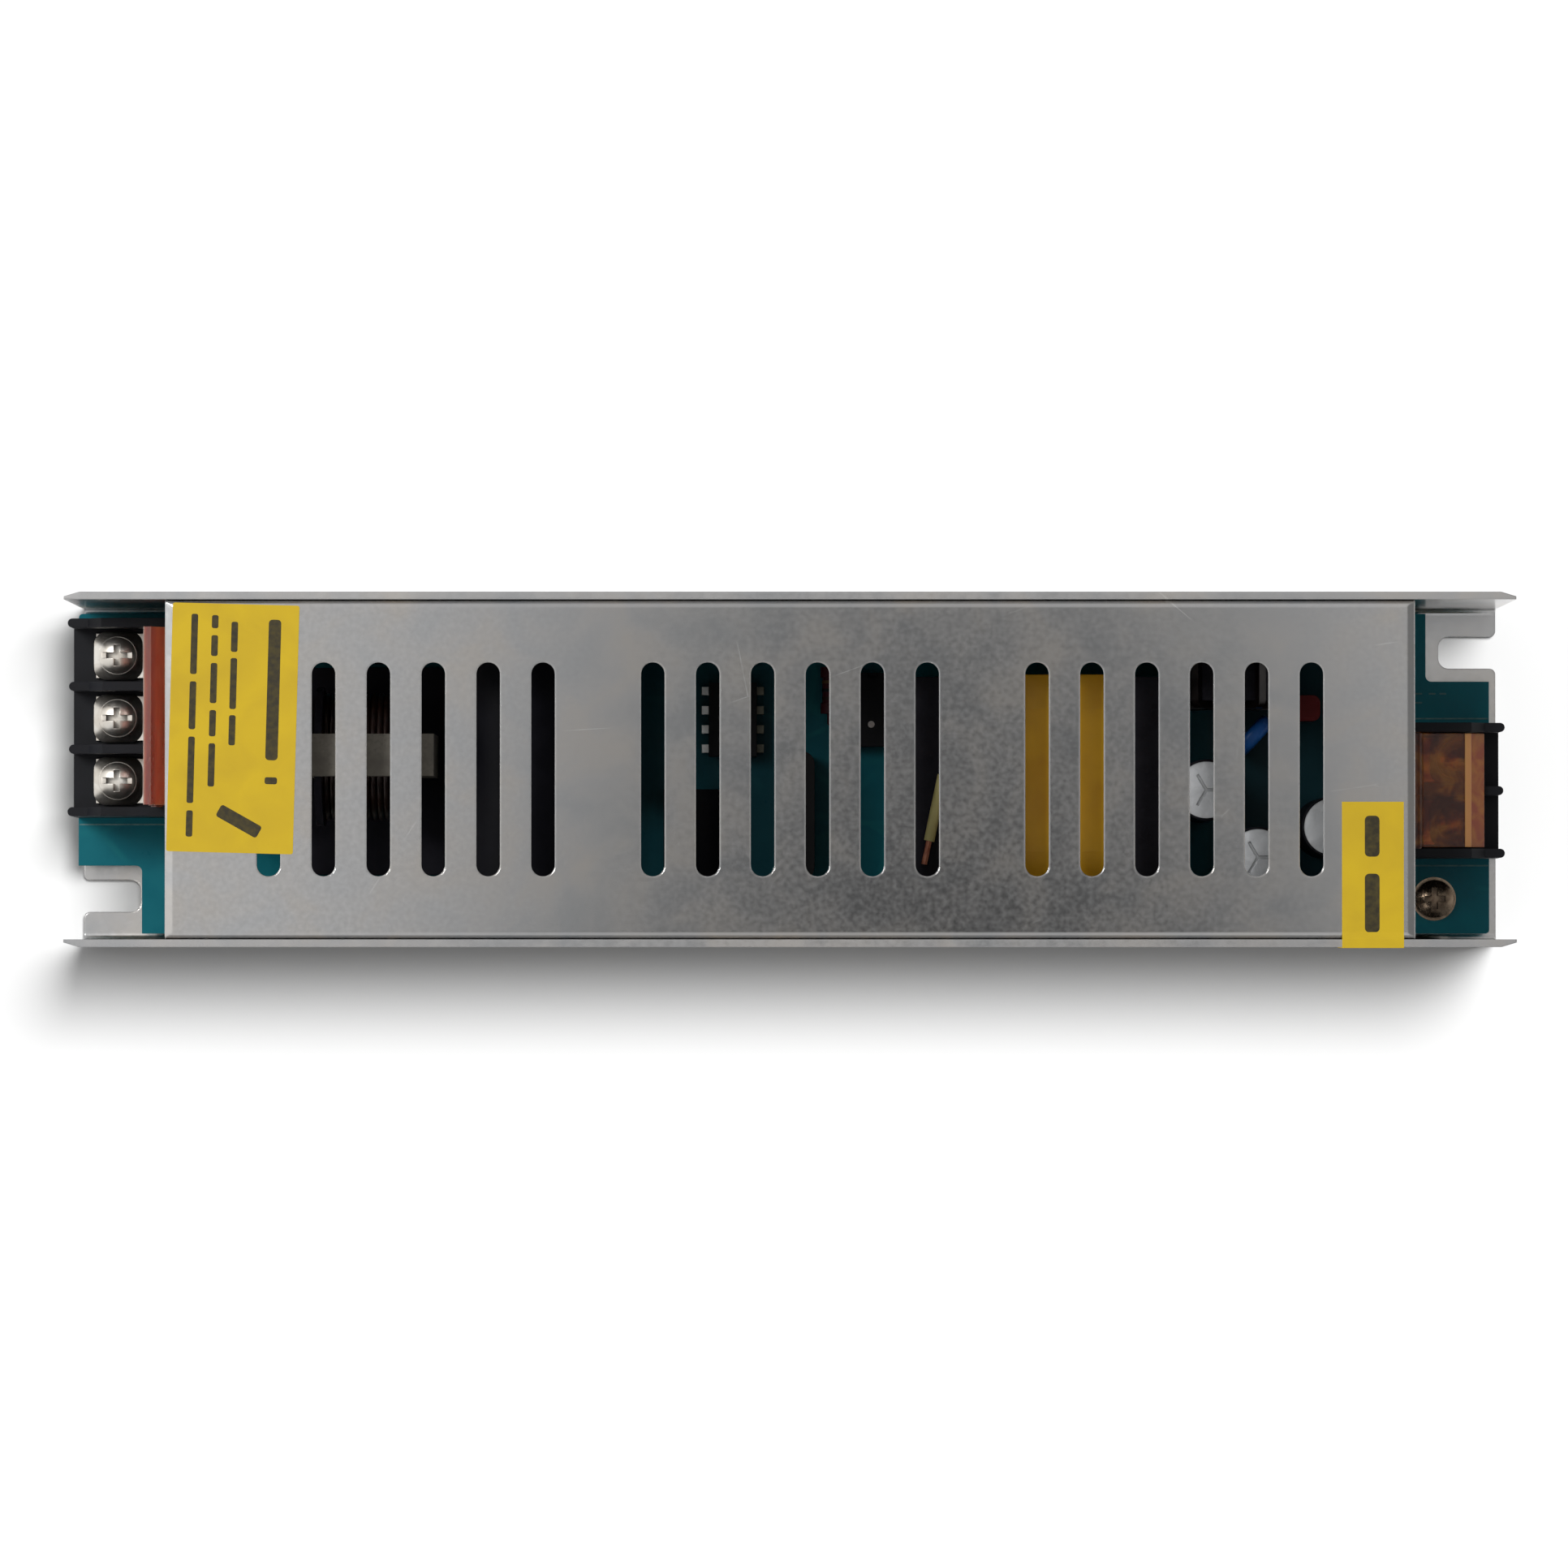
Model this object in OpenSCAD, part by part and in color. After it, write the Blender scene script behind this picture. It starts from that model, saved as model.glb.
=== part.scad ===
// Slim DC power supply: a folded aluminium channel with a vented cover, a populated circuit board and a
// barrier terminal block at each end.
// The origin is at the middle of the underside. X runs along the case from the input end (-X) to the
// output end (+X), Y runs across it and Z is up. Lengths are in millimetres and angles in degrees.

/* [Channel] */
// Overall length of the folded channel
body_l = 188; // [186:1:230]
// Overall width over the two side walls
body_w = 46; // [46:0.5:56]
// Overall height of the side walls
body_h = 36; // [35:0.5:50]
// Sheet thickness of the channel
sheet_t = 1; // [0.8:0.1:1.5]
// Inside radius of the two bends of the channel
bend_r = 0.8; // [0.4:0.1:1.5]
// Length over which the outer face of a wall tapers at its end
wall_taper_l = 2; // [0.5:0.1:4]
// Depth of that taper at the very end of the wall
wall_taper_t = 0.6; // [0.2:0.1:0.7]

/* [Mounting slots] */
// Width of the open slot in each end of the base
mount_slot_w = 4.2; // [3.2:0.1:5.2]
// Depth of the slot from the end of the base
mount_slot_l = 7.6; // [5:0.1:8]
// Distance of the slot's middle from the side of the base
mount_slot_side = 6.8; // [6:0.1:8]
// Radius of the two inner corners of the slot
mount_slot_r = 1.4; // [0.5:0.1:1.5]
// Radius of the rounded lips at the mouth of the slot
mount_lip_r = 0.8; // [0.3:0.1:1.2]

/* [Cover] */
// Open length left at each end of the channel
end_open_l = 13.1; // [12:0.1:18]
// Sheet thickness of the cover
cover_t = 0.8; // [0.6:0.1:1.2]
// Inside radius of the two bends of the cover
cover_bend_r = 0.2; // [0.1:0.1:1]
// Gap between the cover's flanges and the power packages under them
flange_gap = 0.3; // [0.2:0.1:1]
// Depth of the cover's top face below the wall tops
cover_drop = 0.2; // [0:0.1:0.6]
// Length of the sheared edge that slopes down at each end of the cover
cover_shear_l = 1; // [0.3:0.1:2]
// Fall of that sheared edge
cover_shear_t = 0.25; // [0.1:0.05:0.4]

/* [Vents] */
// Width of a vent slot
vent_w = 3.05; // [2:0.05:4]
// Length of a vent slot over its round ends
vent_l = 27.7; // [15:0.1:34]
// Distance of the outer vent slots from the ends of the cover
vent_end = 11.9; // [8:0.1:20]
// Vent slots in a group
vents_per_group = 6; // [3:1:6]
// Groups of vent slots, each a missing slot apart
vent_groups = 3; // [2:1:3]

/* [Flat screws] */
// Thread diameter of the flat-head screws in the side walls
flat_screw_d = 2.6; // [2:0.1:3]
// Head diameter of a flat-head screw
flat_head_d = 4.6; // [4:0.1:5]
// Length of a flat-head screw over its head
flat_screw_l = 5; // [4.8:0.1:7]
// Radial clearance of a flat-head screw in its holes
flat_screw_fit = 0.05; // [0.02:0.01:0.15]
// Distance of a cover screw from the end of the cover
cover_screw_end = 14; // [6:0.5:20]

/* [Labels] */
// Width of the large label along the case
label_w = 16.4; // [10:0.1:17]
// Length of the large label across the case
label_l = 32.2; // [20:0.1:36]
// Distance of the large label's middle from the input end of the cover
label_end = 8.8; // [8.8:0.1:30]
// Distance of the large label from the bend of the cover at +Y
label_side = -0.4; // [-0.5:0.1:8]
// Turn of the large label, as it was stuck on
label_turn = -1.5; // [-2:0.5:2]
// Thickness of both labels
label_t = 0.12; // [0.05:0.01:0.3]
// Width of the seal label along the case
seal_w = 8; // [5:0.5:12]
// Distance of the seal label's middle from the output end of the cover
seal_end = 5.5; // [5.5:0.5:30]
// Distance of the seal label's free end from the middle of the cover
seal_y = 4.2; // [2:0.1:10]
// Length of the seal label folded down over the wall
seal_fold = 9; // [4:0.5:20]

/* [Circuit board] */
// Mean gap from the ends of the board to the ends of the channel
board_end_gap = 0.5; // [0.5:0.1:2]
// Shift of the board towards the input end
board_shift = 0.8; // [0:0.1:1]
// Gap from the sides of the board to the channel walls
board_side_gap = 0.8; // [0.5:0.1:1]
// Board thickness
board_t = 1.6; // [1:0.1:2]
// Height of the stand-offs under the board
standoff_h = 4; // [3:0.1:6]
// Diameter of a stand-off
standoff_d = 5.5; // [5:0.1:6]
// Diameter of the pressed-in foot of a stand-off
standoff_foot_d = 4.2; // [3.8:0.1:4.5]
// Thread diameter of the board screws
board_screw_d = 3; // [2.5:0.1:3]
// Head diameter of a board screw
board_head_d = 5; // [4.8:0.1:5.5]
// Head height of a board screw
board_head_h = 2; // [1.6:0.1:2.4]
// Distance of the outer board screw from the output end of the board
board_screw_end = 7.3; // [6:0.1:8]
// Distance of the inner board screws from the ends of the board
board_screw_in = 18.5; // [18:0.1:20]
// Distance of the board screws from the sides of the board
board_screw_side = 4.6; // [4:0.1:5]
// Length of the cut-away corner at each mounting slot
board_notch_l = 8.4; // [6:0.1:9]
// Width of the cut-away corner at each mounting slot
board_notch_w = 9; // [8:0.1:10]
// Length of the shortest board that takes the parts at full size
parts_l = 186; // [170:1:190]
// Width of the narrowest board that takes the parts at full size
parts_w = 42; // [38:0.5:44]
// Thickness of the insulation sheet under the board
insulation_t = 0.25; // [0.1:0.05:0.5]
// Height of the insulation flaps above the top of the board
insulation_rise = 2; // [1:0.1:2.5]

/* [Terminal blocks] */
// Spacing of the terminals
pole_pitch = 8.25; // [8:0.05:8.8]
// Thickness of the barriers between the terminals
barrier_t = 1.2; // [1:0.1:1.4]
// Depth of a block from front to back
block_depth = 15; // [14.6:0.1:15.4]
// Height of the block floor that carries the contacts
block_floor_h = 7; // [6:0.1:9]
// Distance the input block's front stands past the end of the board
input_overhang = 0.1; // [0:0.1:1]
// Distance the output block's front stands past the end of the board
output_overhang = 0.7; // [0:0.1:1]
// Distance the barrier noses stand in front of the block
barrier_nose = 0.3; // [0.2:0.05:0.6]
// Thickness of the back wall of a block
block_back_t = 1.5; // [1:0.1:2]
// Distance of the input block from the side of the board at +Y
input_block_side = 1.1; // [0.5:0.1:2]
// Gap between the output block and the board screw beside it
output_block_side = 2.8; // [1:0.1:4]

/* [Terminal clamps] */
// Thickness of the contact bars
contact_t = 0.8; // [0.5:0.1:1]
// Length of a contact bar along its bay
contact_l = 7.2; // [7:0.1:7.6]
// Distance of a contact bar behind the front of the block
contact_front = 3; // [2.6:0.1:3.4]
// Gap between a contact bar and the barriers
contact_gap = 0.6; // [0.3:0.05:0.8]
// Width of the solder leg of a contact bar
contact_leg_w = 3; // [2:0.1:4]
// Thickness of the clamp plates
clamp_t = 1; // [0.8:0.1:1.1]
// Gap between a clamp plate and the barriers
clamp_gap = 0.35; // [0.3:0.05:0.5]
// Fall of a clamp plate's rim from the screw head to its sides
clamp_fall = 0.5; // [0.3:0.1:0.7]
// Thread diameter of the terminal screws
terminal_screw_d = 3; // [2.6:0.1:3.5]
// Head diameter of a terminal screw
terminal_head_d = 4.8; // [4.5:0.1:5.2]
// Head height of a terminal screw
terminal_head_h = 2.1; // [1.8:0.1:2.2]
// Distance of the terminal screws behind the front of the block
terminal_screw_back = 5.9; // [5.7:0.1:6.1]
// Radial clearance of a terminal screw in its contact bar
terminal_screw_fit = 0.05; // [0.03:0.01:0.1]
// Height that a terminal screw backs out with its clamp plate
clamp_lift = 2; // [1:0.1:2]

/* [Terminal lids] */
// Thickness of the amber lids
lid_t = 1; // [0.8:0.1:1.2]
// Length of a lid's flat part from its hinge
lid_flat_l = 7.2; // [7:0.1:7.4]
// Length of a lid from its hinge to its front edge
lid_l = 9.1; // [8.8:0.1:9.4]
// Width of the raised rib along a lid's fold
lid_rib_w = 0.8; // [0.4:0.1:1]
// Height of that rib
lid_rib_h = 0.3; // [0.2:0.05:0.5]
// Fall of the sloped front of a lid
lid_drop = 1.9; // [1:0.1:2]
// Gap between a lid and the end walls of its block
lid_side_gap = 0.2; // [0.15:0.05:0.4]
// Gap between a closed lid and the inner barriers
lid_rest_gap = 0.15; // [0.1:0.05:0.4]
// Distance of the hinge behind the front of the block
hinge_back = 11.4; // [11.2:0.1:11.6]
// Height of the hinge above the board
hinge_h = 14; // [14:0.1:16]
// Diameter of the hinge pins
hinge_pin_d = 1.6; // [1.2:0.1:1.8]
// Radial clearance of the hinge pins
hinge_pin_fit = 0.05; // [0.02:0.01:0.1]
// Diameter of the lid's hinge barrel
hinge_barrel_d = 2.2; // [2.2:0.1:2.4]
// Angle of an open lid from its closed place
lid_open = 98; // [80:1:100]

/* [Line choke] */
// Place of the line choke, in shares of the case's length and width
choke_at = [-0.2995, 0.0435]; // [-0.5:0.0001:0.5]
// Length of the core loop
choke_core_l = 20; // [19:0.1:20.5]
// Thickness of the core across the case
choke_core_w = 5.5; // [5:0.1:6]
// Height of the two long legs of the core
choke_leg_h = 4.5; // [4:0.1:4.8]
// Length of each short end of the core
choke_end_l = 4; // [3.5:0.1:4.2]
// Clear height of the core's window
choke_window_h = 7; // [6.5:0.1:7.5]
// Flange thickness of the choke bobbin
choke_flange_t = 1; // [0.8:0.1:1.2]
// Size of the base plate under the choke, along and across the case
choke_base_size = [21, 27.4]; // [15:0.1:28]
// Shift of the base plate across the case from the middle of the choke
choke_base_shift = -1.7; // [-2:0.1:0]
// Diameter of the choke wire
choke_wire_d = 0.85; // [0.6:0.05:1]

/* [Transformer] */
// Place of the transformer, in shares of the case's length and width
transformer_at = [0.1723, -0.0283]; // [-0.5:0.0001:0.5]
// Length of the core from end to end
core_l = 32; // [31:0.1:32.5]
// Width of the core across the case
core_w = 27; // [26:0.1:28]
// Height of the ends and the outer legs of the core
core_h = 19.4; // [18:0.1:20]
// Height of the middle leg
core_mid_h = 11; // [10:0.1:11.4]
// Thickness of each end of the core
core_end_t = 6; // [5:0.1:6.5]
// Width of the middle leg
core_mid_w = 8; // [7:0.1:8.5]
// Width of each outer leg
core_leg_w = 4; // [3.5:0.1:4.2]
// Height of the core's axis above the board
core_axis_h = 12; // [12:0.1:13]
// Wall thickness of the bobbin
bobbin_t = 0.8; // [0.6:0.1:1]
// Build-up of the winding above the middle leg
winding_rise = 4.8; // [4:0.1:5]
// Thickness of the tape wrap
tape_t = 0.3; // [0.1:0.05:0.5]

/* [Capacitors] */
// Place of the bulk capacitor that lies across the board, in shares of the case's length and width
bulk_at = [-0.1894, 0]; // [-0.5:0.0001:0.5]
// Diameter of the bulk capacitor
bulk_d = 18; // [16:0.1:18]
// Length of the bulk capacitor
bulk_l = 34; // [25:0.5:36]
// Place of the control supply capacitor, in shares of the case's length and width
control_cap_at = [-0.0676, -0.1783]; // [-0.5:0.0001:0.5]
// Diameter of the control supply capacitor
control_cap_d = 8; // [6:0.1:8]
// Length of the control supply capacitor
control_cap_l = 12; // [9:0.1:12.5]
// Diameter of the output capacitors
output_cap_d = 8; // [6:0.1:10]
// Height of the output capacitors
output_cap_h = 20; // [16:0.5:24]
// Thickness of the capacitor sleeves
sleeve_t = 0.15; // [0.1:0.01:0.2]
// Width of the sleeve rim on a capacitor's end
sleeve_rim = 0.3; // [0.2:0.1:1]
// Size of the boxed line capacitor: along, across and up
line_cap_size = [6, 18, 13]; // [5:0.1:18]
// Place of the boxed line capacitor, in shares of the case's length and width
line_cap_at = [-0.3851, 0.0783]; // [-0.5:0.0001:0.5]
// Diameter of the blue disc capacitor
disc_cap_d = 6.4; // [6:0.1:7]
// Thickness of the blue disc capacitor
disc_cap_t = 2; // [1.8:0.1:2.6]

/* [Power packages] */
// Thickness of the pads between the packages and the wall
pad_t = 0.25; // [0.1:0.05:0.4]
// Width of a package
package_w = 10; // [9:0.1:10.4]
// Thickness of a package's tab
tab_t = 1.3; // [1:0.1:1.5]
// Height of a package's moulded body
package_h = 9.2; // [8:0.1:10]
// Thickness of a package over its tab
package_t = 4.5; // [4:0.1:4.8]
// Height of a package's tab above the moulded body
tab_h = 6.3; // [6:0.1:7]
// Height of a package above the board
package_lift = 4; // [4:0.1:5]
// Size of the nuts over their flats
nut_w = 5; // [4.5:0.1:5.5]
// Thickness of the nuts
nut_t = 2; // [1.6:0.1:2.2]

/* [Hidden] */
$fn = 64;

// Allowance by which cutters run past the faces they open
cut = 1;

// Enclosure
inner_w = body_w - 2 * sheet_t;
cover_l = body_l - 2 * end_open_l;
cover_top = body_h - cover_drop;
cover_bend_outer_r = cover_bend_r + cover_t;
cover_screw_x = cover_l / 2 - cover_screw_end;
vent_places = vent_groups * (vents_per_group + 1) - 1;
vent_pitch = (cover_l - 2 * vent_end - vent_w) / (vent_places - 1);
mount_slot_y = body_w / 2 - mount_slot_side;
label_y = inner_w / 2 - cover_bend_outer_r - label_side - label_l / 2;
flat_head_h = (flat_head_d - flat_screw_d) / 2;
flat_cross_span = 2.4;
flat_cross_w = 0.6;
flat_cross_depth = 0.6;
label_corner_r = 0.3;

// Board
board_l = body_l - 2 * board_end_gap;
board_w = inner_w - 2 * board_side_gap;
board_x0 = -board_shift - board_l / 2;
board_x1 = -board_shift + board_l / 2;
board_z = sheet_t + standoff_h;
board_top = board_z + board_t;
board_screw_y = board_w / 2 - board_screw_side;
board_screw_at = [
    [board_x1 - board_screw_end, -board_screw_y],
    [board_x1 - board_screw_in, board_screw_y],
    [board_x0 + board_screw_in, board_screw_y],
    [board_x0 + board_screw_in, -board_screw_y]
];
part_scale = min(1, board_l / parts_l, board_w / parts_w);
board_corner_r = 0.5;
board_notch_r = 0.8;
board_screw_fit = 0.1;
board_dome_h = 0.8;
board_cross_span = 2.8;
board_cross_w = 0.8;
board_cross_depth = 1.1;
standoff_fit = 0.02;
insulation_gap = 0.1;
insulation_end = 2;
insulation_hole_gap = 0.5;

// Terminal blocks, in a frame with its origin on the board at the middle of the block's front
input_poles = 3;
output_poles = 2;
input_block_y = (board_w - input_poles * pole_pitch - barrier_t) / 2 - input_block_side;
output_block_half_w = (output_poles * pole_pitch + barrier_t) / 2;
output_block_y = output_block_half_w + output_block_side + board_head_d / 2 - board_screw_y;
bay_w = pole_pitch - barrier_t;
lid_barrel_r = hinge_barrel_d / 2;
end_wall_rise = 0.6;
end_wall_h = hinge_h + lid_barrel_r + end_wall_rise;
inner_barrier_h = hinge_h - lid_t / 2 - lid_rest_gap;
block_back_gap = 0.4;
block_back_h = hinge_h - lid_barrel_r - block_back_gap;
hinge_relief = 0.25;
screw_well_gap = 0.4;
screw_well_web = 1.5;
screw_tip_gap = 0.8;
contact_slot_gap = 0.2;
clamp_hole_gap = 0.1;
clamp_w = bay_w - 2 * clamp_gap;
clamp_corner_r = 1.6;
clamp_head_gap = 0.1;
clamp_top_r = terminal_head_d / 2 + clamp_head_gap;
clamp_foot_r = clamp_top_r + (clamp_w / 2 - clamp_top_r) * clamp_t / clamp_fall;
clamp_z = block_floor_h + contact_t;
screw_seat_z = clamp_z + clamp_t;
terminal_shank_l = screw_seat_z - screw_well_web - screw_tip_gap;
terminal_dome_h = 0.9;
terminal_recess_w = 0.8;
terminal_cross_span = 2.8;
terminal_cross_depth = 1.3;
terminal_slot_depth = 0.6;

// Choke
choke_window_l = choke_core_l - 2 * choke_end_l;
choke_play = 0.15;
choke_tube_t = 0.5;
choke_winding_margin = 0.7;
core_joint = 0.06;
choke_flange_r = choke_leg_h / 2 + choke_window_h - choke_play;
choke_foot_h = 1;
choke_base_r = 1;
choke_axis_h = choke_flange_r + choke_foot_h;
choke_bobbin_l = choke_window_l - 2 * choke_play;
choke_tube_r = norm([choke_core_w, choke_leg_h]) / 2 + 2 * choke_play + choke_tube_t;
choke_winding_l = (choke_bobbin_l - 3 * choke_flange_t) / 2;
choke_winding_r = choke_flange_r - choke_winding_margin;

// Transformer
core_leg_l = core_l / 2 - core_end_t;
core_window_w = (core_w - core_mid_w) / 2 - core_leg_w;
core_play = 0.15;
bobbin_l = 2 * (core_leg_l - core_play);
bobbin_rail_l = 4;
bobbin_flange_rise = 0.2;
winding_margin = 0.5;
winding_corner_r = 2;
winding_half_w = core_mid_w / 2 + core_window_w - winding_margin;
winding_half_h = core_mid_h / 2 + winding_rise;
tape_end_gap = 0.05;
tape_l = bobbin_l - 2 * bobbin_t - 2 * tape_end_gap;

// Power packages on the wall at +Y
pad_margin = 0.8;
package_gap = 0.4;
package_pitch = package_w + 2 * pad_margin + package_gap;
transistor_share = -0.0798;
rectifier_share = 0.2846;
transistor_x = [transistor_share * body_l];
rectifier_x = [rectifier_share * body_l, rectifier_share * body_l + package_pitch];
package_x = concat(transistor_x, rectifier_x);
tab_hole_drop = 3;
package_screw_z = package_lift + package_h + tab_h - tab_hole_drop;
package_lead_pitch = 2.54;
cover_flange_h = cover_top - board_top - package_lift - package_h - tab_h - pad_margin - flange_gap;
cover_screw_z = cover_top - cover_flange_h / 2;
nut_fit = 0.05;

// Small parts on the board, placed in shares of the case's length and width, some with a turn
fuse_at = [-0.3085, -0.3609];
fuse_d = 5.2;
fuse_l = 20;
fuse_cap_l = 5;
fuse_cap_t = 0.3;
inrush_at = [-0.2979, 0.3609];
inrush_d = 9;
inrush_t = 4.4;
inrush_lift = 2;
bridge_at = [-0.1255, 0.1196];
bridge_size = [3.6, 15, 11];
bridge_lift = 2;
bridge_chamfer = 2.5;
bridge_lead_pitch = 3.8;
dip_w = 6.35;
dip_h = 3.3;
dip_lift = 0.5;
dip_pitch = 2.54;
dip_row = 7.62;
dip_end_trim = 0.4;
dip_notch_d = 1.6;
dip_notch_depth = 0.6;
dip_lead_t = 0.3;
dip_lead_w = 1.1;
controller_at = [-0.0402, 0.1543];
controller_leads = 4;
optocoupler_at = [0.0585, 0.1826];
optocoupler_leads = 4;
film_cap_at = [0.0032, -0.1239];
film_cap_l = 17;
film_cap_t = 5.3;
film_cap_corner_r = 1.8;
film_cap_h = 10;
film_cap_lift = 1;
resistor_at = [
    [0.0282, 0.2391, 90], [0.0372, -0.1196, 90], [0.075, -0.1196, 90],
    [-0.1197, -0.1957, 90], [0.3936, 0.1739, 90]
];
resistor_d = 2;
resistor_l = 6.2;
resistor_lift = 0.5;
resistor_bead_l = 1.4;
resistor_bead_rise = 0.25;
resistor_lead_reach = 1.2;
lead_d = 0.7;
disc_lead_reach = 2.5;
output_choke_at = [0.3053, 0.2696];
output_choke_d = 15.4;
output_choke_bore = 7.6;
output_choke_t = 6.2;
output_choke_wire = 1;
output_choke_wire_gap = 0.15;
output_choke_turns = 12;
output_cap_at = [[0.2888, -0.0543], [0.3245, -0.2457], [0.3763, -0.1587]];
disc_cap_at = [0.325, 0.1043, 47];
disc_cap_lift = 2;
snubber_at = [0.3628, 0.1848];
snubber_size = [3.4, 3.4, 6];
snubber_lift = 1.5;
snubber_lead_reach = 1;
snubber_corner_r = 1;
line_cap_corner_r = 0.8;
lead_from = [-12.5, 0.7];
lead_to = [-14.3, -7.9];
lead_bare_l = 3.1;
lead_end = lead_to + lead_bare_l / norm(lead_to - lead_from) * (lead_to - lead_from);
lead_sleeve_d = 1.4;
lead_wire_d = 0.8;

// Outline of a rectangle with round corners, centred
module rounded_rect(w, h, r) {
    square([w - 2 * r, h], center = true);
    square([w, h - 2 * r], center = true);
    for (sx = [-1, 1], sy = [-1, 1])
        translate([sx * (w / 2 - r), sy * (h / 2 - r)]) circle(r);
}

// Outline of a slot with full-round ends that runs along Y
module slot_outline(w, l) {
    square([w, l - w], center = true);
    for (s = [-1, 1])
        translate([0, s * (l - w) / 2]) circle(d = w);
}

// Outline of a tub with an open top, round lower corners and its bottom at zero
module tub_outline(w, h, r) {
    translate([-w / 2, r]) square([w, h - r]);
    translate([r - w / 2, 0]) square([w - 2 * r, r]);
    for (s = [-1, 1])
        translate([s * (w / 2 - r), r]) circle(r);
}

// Runs an outline drawn in Y and Z along X, centred
module along_x(l) {
    rotate([90, 0, 90]) linear_extrude(l, center = true) children();
}

// Runs an outline drawn in X and Z along Y, centred
module along_y(l) {
    rotate([90, 0, 0]) linear_extrude(l, center = true) children();
}

// Puts a part on the top face of the board
module on_board(at) {
    translate([at[0], at[1], board_top]) children();
}

// Puts a part at its place in the layout, moved and sized with the case
module placed(at) {
    on_board([at[0] * body_l, at[1] * body_w])
        rotate([0, 0, len(at) > 2 ? at[2] : 0]) scale(part_scale) children();
}

// Cross recess cut into the head of a screw whose top is at zero
module cross_recess(span, w, depth) {
    for (turn = [0, 90])
        rotate([0, 0, turn])
            translate([-span / 2, -w / 2, -depth]) cube([span, w, depth + cut]);
}

// Pan head with a domed top, seated at zero
module pan_head(d, h, dome) {
    dome_r = (d * d / 4 + dome * dome) / (2 * dome);
    rotate_extrude()
        intersection() {
            square([d / 2, h]);
            translate([0, h - dome_r]) circle(dome_r, $fn = 128);
        }
}

// Flat-head screw with its top at zero and its shank pointing down
module flat_screw() {
    difference() {
        union() {
            translate([0, 0, -flat_head_h])
                cylinder(d1 = flat_screw_d, d2 = flat_head_d, h = flat_head_h);
            translate([0, 0, -flat_screw_l])
                cylinder(d = flat_screw_d, h = flat_screw_l - flat_head_h);
        }
        cross_recess(flat_cross_span, flat_cross_w, flat_cross_depth);
    }
}

// Countersunk hole for a flat-head screw whose top is at zero
module flat_screw_hole() {
    translate([0, 0, -flat_head_h]) cylinder(d1 = flat_screw_d, d2 = flat_head_d, h = flat_head_h);
    translate([0, 0, -flat_screw_l - cut])
        cylinder(d = flat_screw_d + 2 * flat_screw_fit, h = flat_screw_l + 2 * cut);
}

// Places of the cover screws on the outside of both walls
module at_cover_screws() {
    for (side = [0, 180], x = [-cover_screw_x, cover_screw_x])
        rotate([0, 0, side])
            translate([x, body_w / 2, cover_screw_z]) rotate([-90, 0, 0]) children();
}

// Places of the package screws on the outside of the wall at +Y
module at_package_screws() {
    for (x = package_x)
        translate([x, body_w / 2, board_top + package_screw_z]) rotate([-90, 0, 0]) children();
}

// Open mounting slot at the output end of the base, with rounded lips at its mouth
module mount_slot() {
    translate([body_l / 2, mount_slot_y, -cut])
        linear_extrude(sheet_t + 2 * cut) {
            translate([mount_slot_r - mount_slot_l, 0]) {
                translate([0, -mount_slot_w / 2]) square([mount_slot_l, mount_slot_w]);
                translate([-mount_slot_r, mount_slot_r - mount_slot_w / 2])
                    square([2 * mount_slot_r, mount_slot_w - 2 * mount_slot_r]);
                for (s = [-1, 1])
                    translate([0, s * (mount_slot_w / 2 - mount_slot_r)]) circle(mount_slot_r);
            }
            for (s = [-1, 1])
                translate([-mount_lip_r, s * (mount_slot_w / 2 + mount_lip_r)])
                    difference() {
                        translate([0, s > 0 ? -mount_lip_r : 0]) square(mount_lip_r);
                        circle(mount_lip_r);
                    }
        }
}

// Taper on the outer face of a wall, at the corner of the output end and the wall at +Y
module wall_taper() {
    translate([body_l / 2, body_w / 2, -cut])
        linear_extrude(body_h + 2 * cut)
            polygon([[-wall_taper_l, 0], [cut, 0], [cut, -wall_taper_t], [0, -wall_taper_t]]);
}

module base_channel() {
    color("silver")
        difference() {
            along_x(body_l)
                difference() {
                    tub_outline(body_w, body_h, bend_r + sheet_t);
                    translate([0, sheet_t]) tub_outline(inner_w, body_h, bend_r);
                }
            for (turn = [0, 180])
                rotate([0, 0, turn]) {
                    mount_slot();
                    wall_taper();
                    mirror([0, 1, 0]) wall_taper();
                }
            at_cover_screws() flat_screw_hole();
            at_package_screws() flat_screw_hole();
            for (at = board_screw_at)
                translate([at[0], at[1], -cut])
                    cylinder(d = standoff_foot_d + 2 * standoff_fit, h = sheet_t + 2 * cut);
        }
}

module vented_cover() {
    color("lightgray")
        difference() {
            translate([0, 0, cover_top])
                mirror([0, 0, 1])
                    along_x(cover_l)
                        difference() {
                            tub_outline(inner_w, cover_flange_h, cover_bend_outer_r);
                            translate([0, cover_t])
                                tub_outline(inner_w - 2 * cover_t, cover_flange_h, cover_bend_r);
                        }
            for (group = [0 : vent_groups - 1], k = [0 : vents_per_group - 1])
                translate([
                    (group * (vents_per_group + 1) + k - (vent_places - 1) / 2) * vent_pitch,
                    0,
                    cover_top - cover_t - cut
                ])
                    linear_extrude(cover_t + 2 * cut) slot_outline(vent_w, vent_l);
            for (turn = [0, 180])
                rotate([0, 0, turn])
                    translate([cover_l / 2, 0, cover_top])
                        along_y(body_w)
                            polygon([
                                [-cover_shear_l, 0], [0, -cover_shear_t],
                                [cut, -cover_shear_t], [cut, 0]
                            ]);
            at_cover_screws() flat_screw_hole();
        }
}

module cover_screws() {
    color("silver") at_cover_screws() flat_screw();
}

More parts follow.
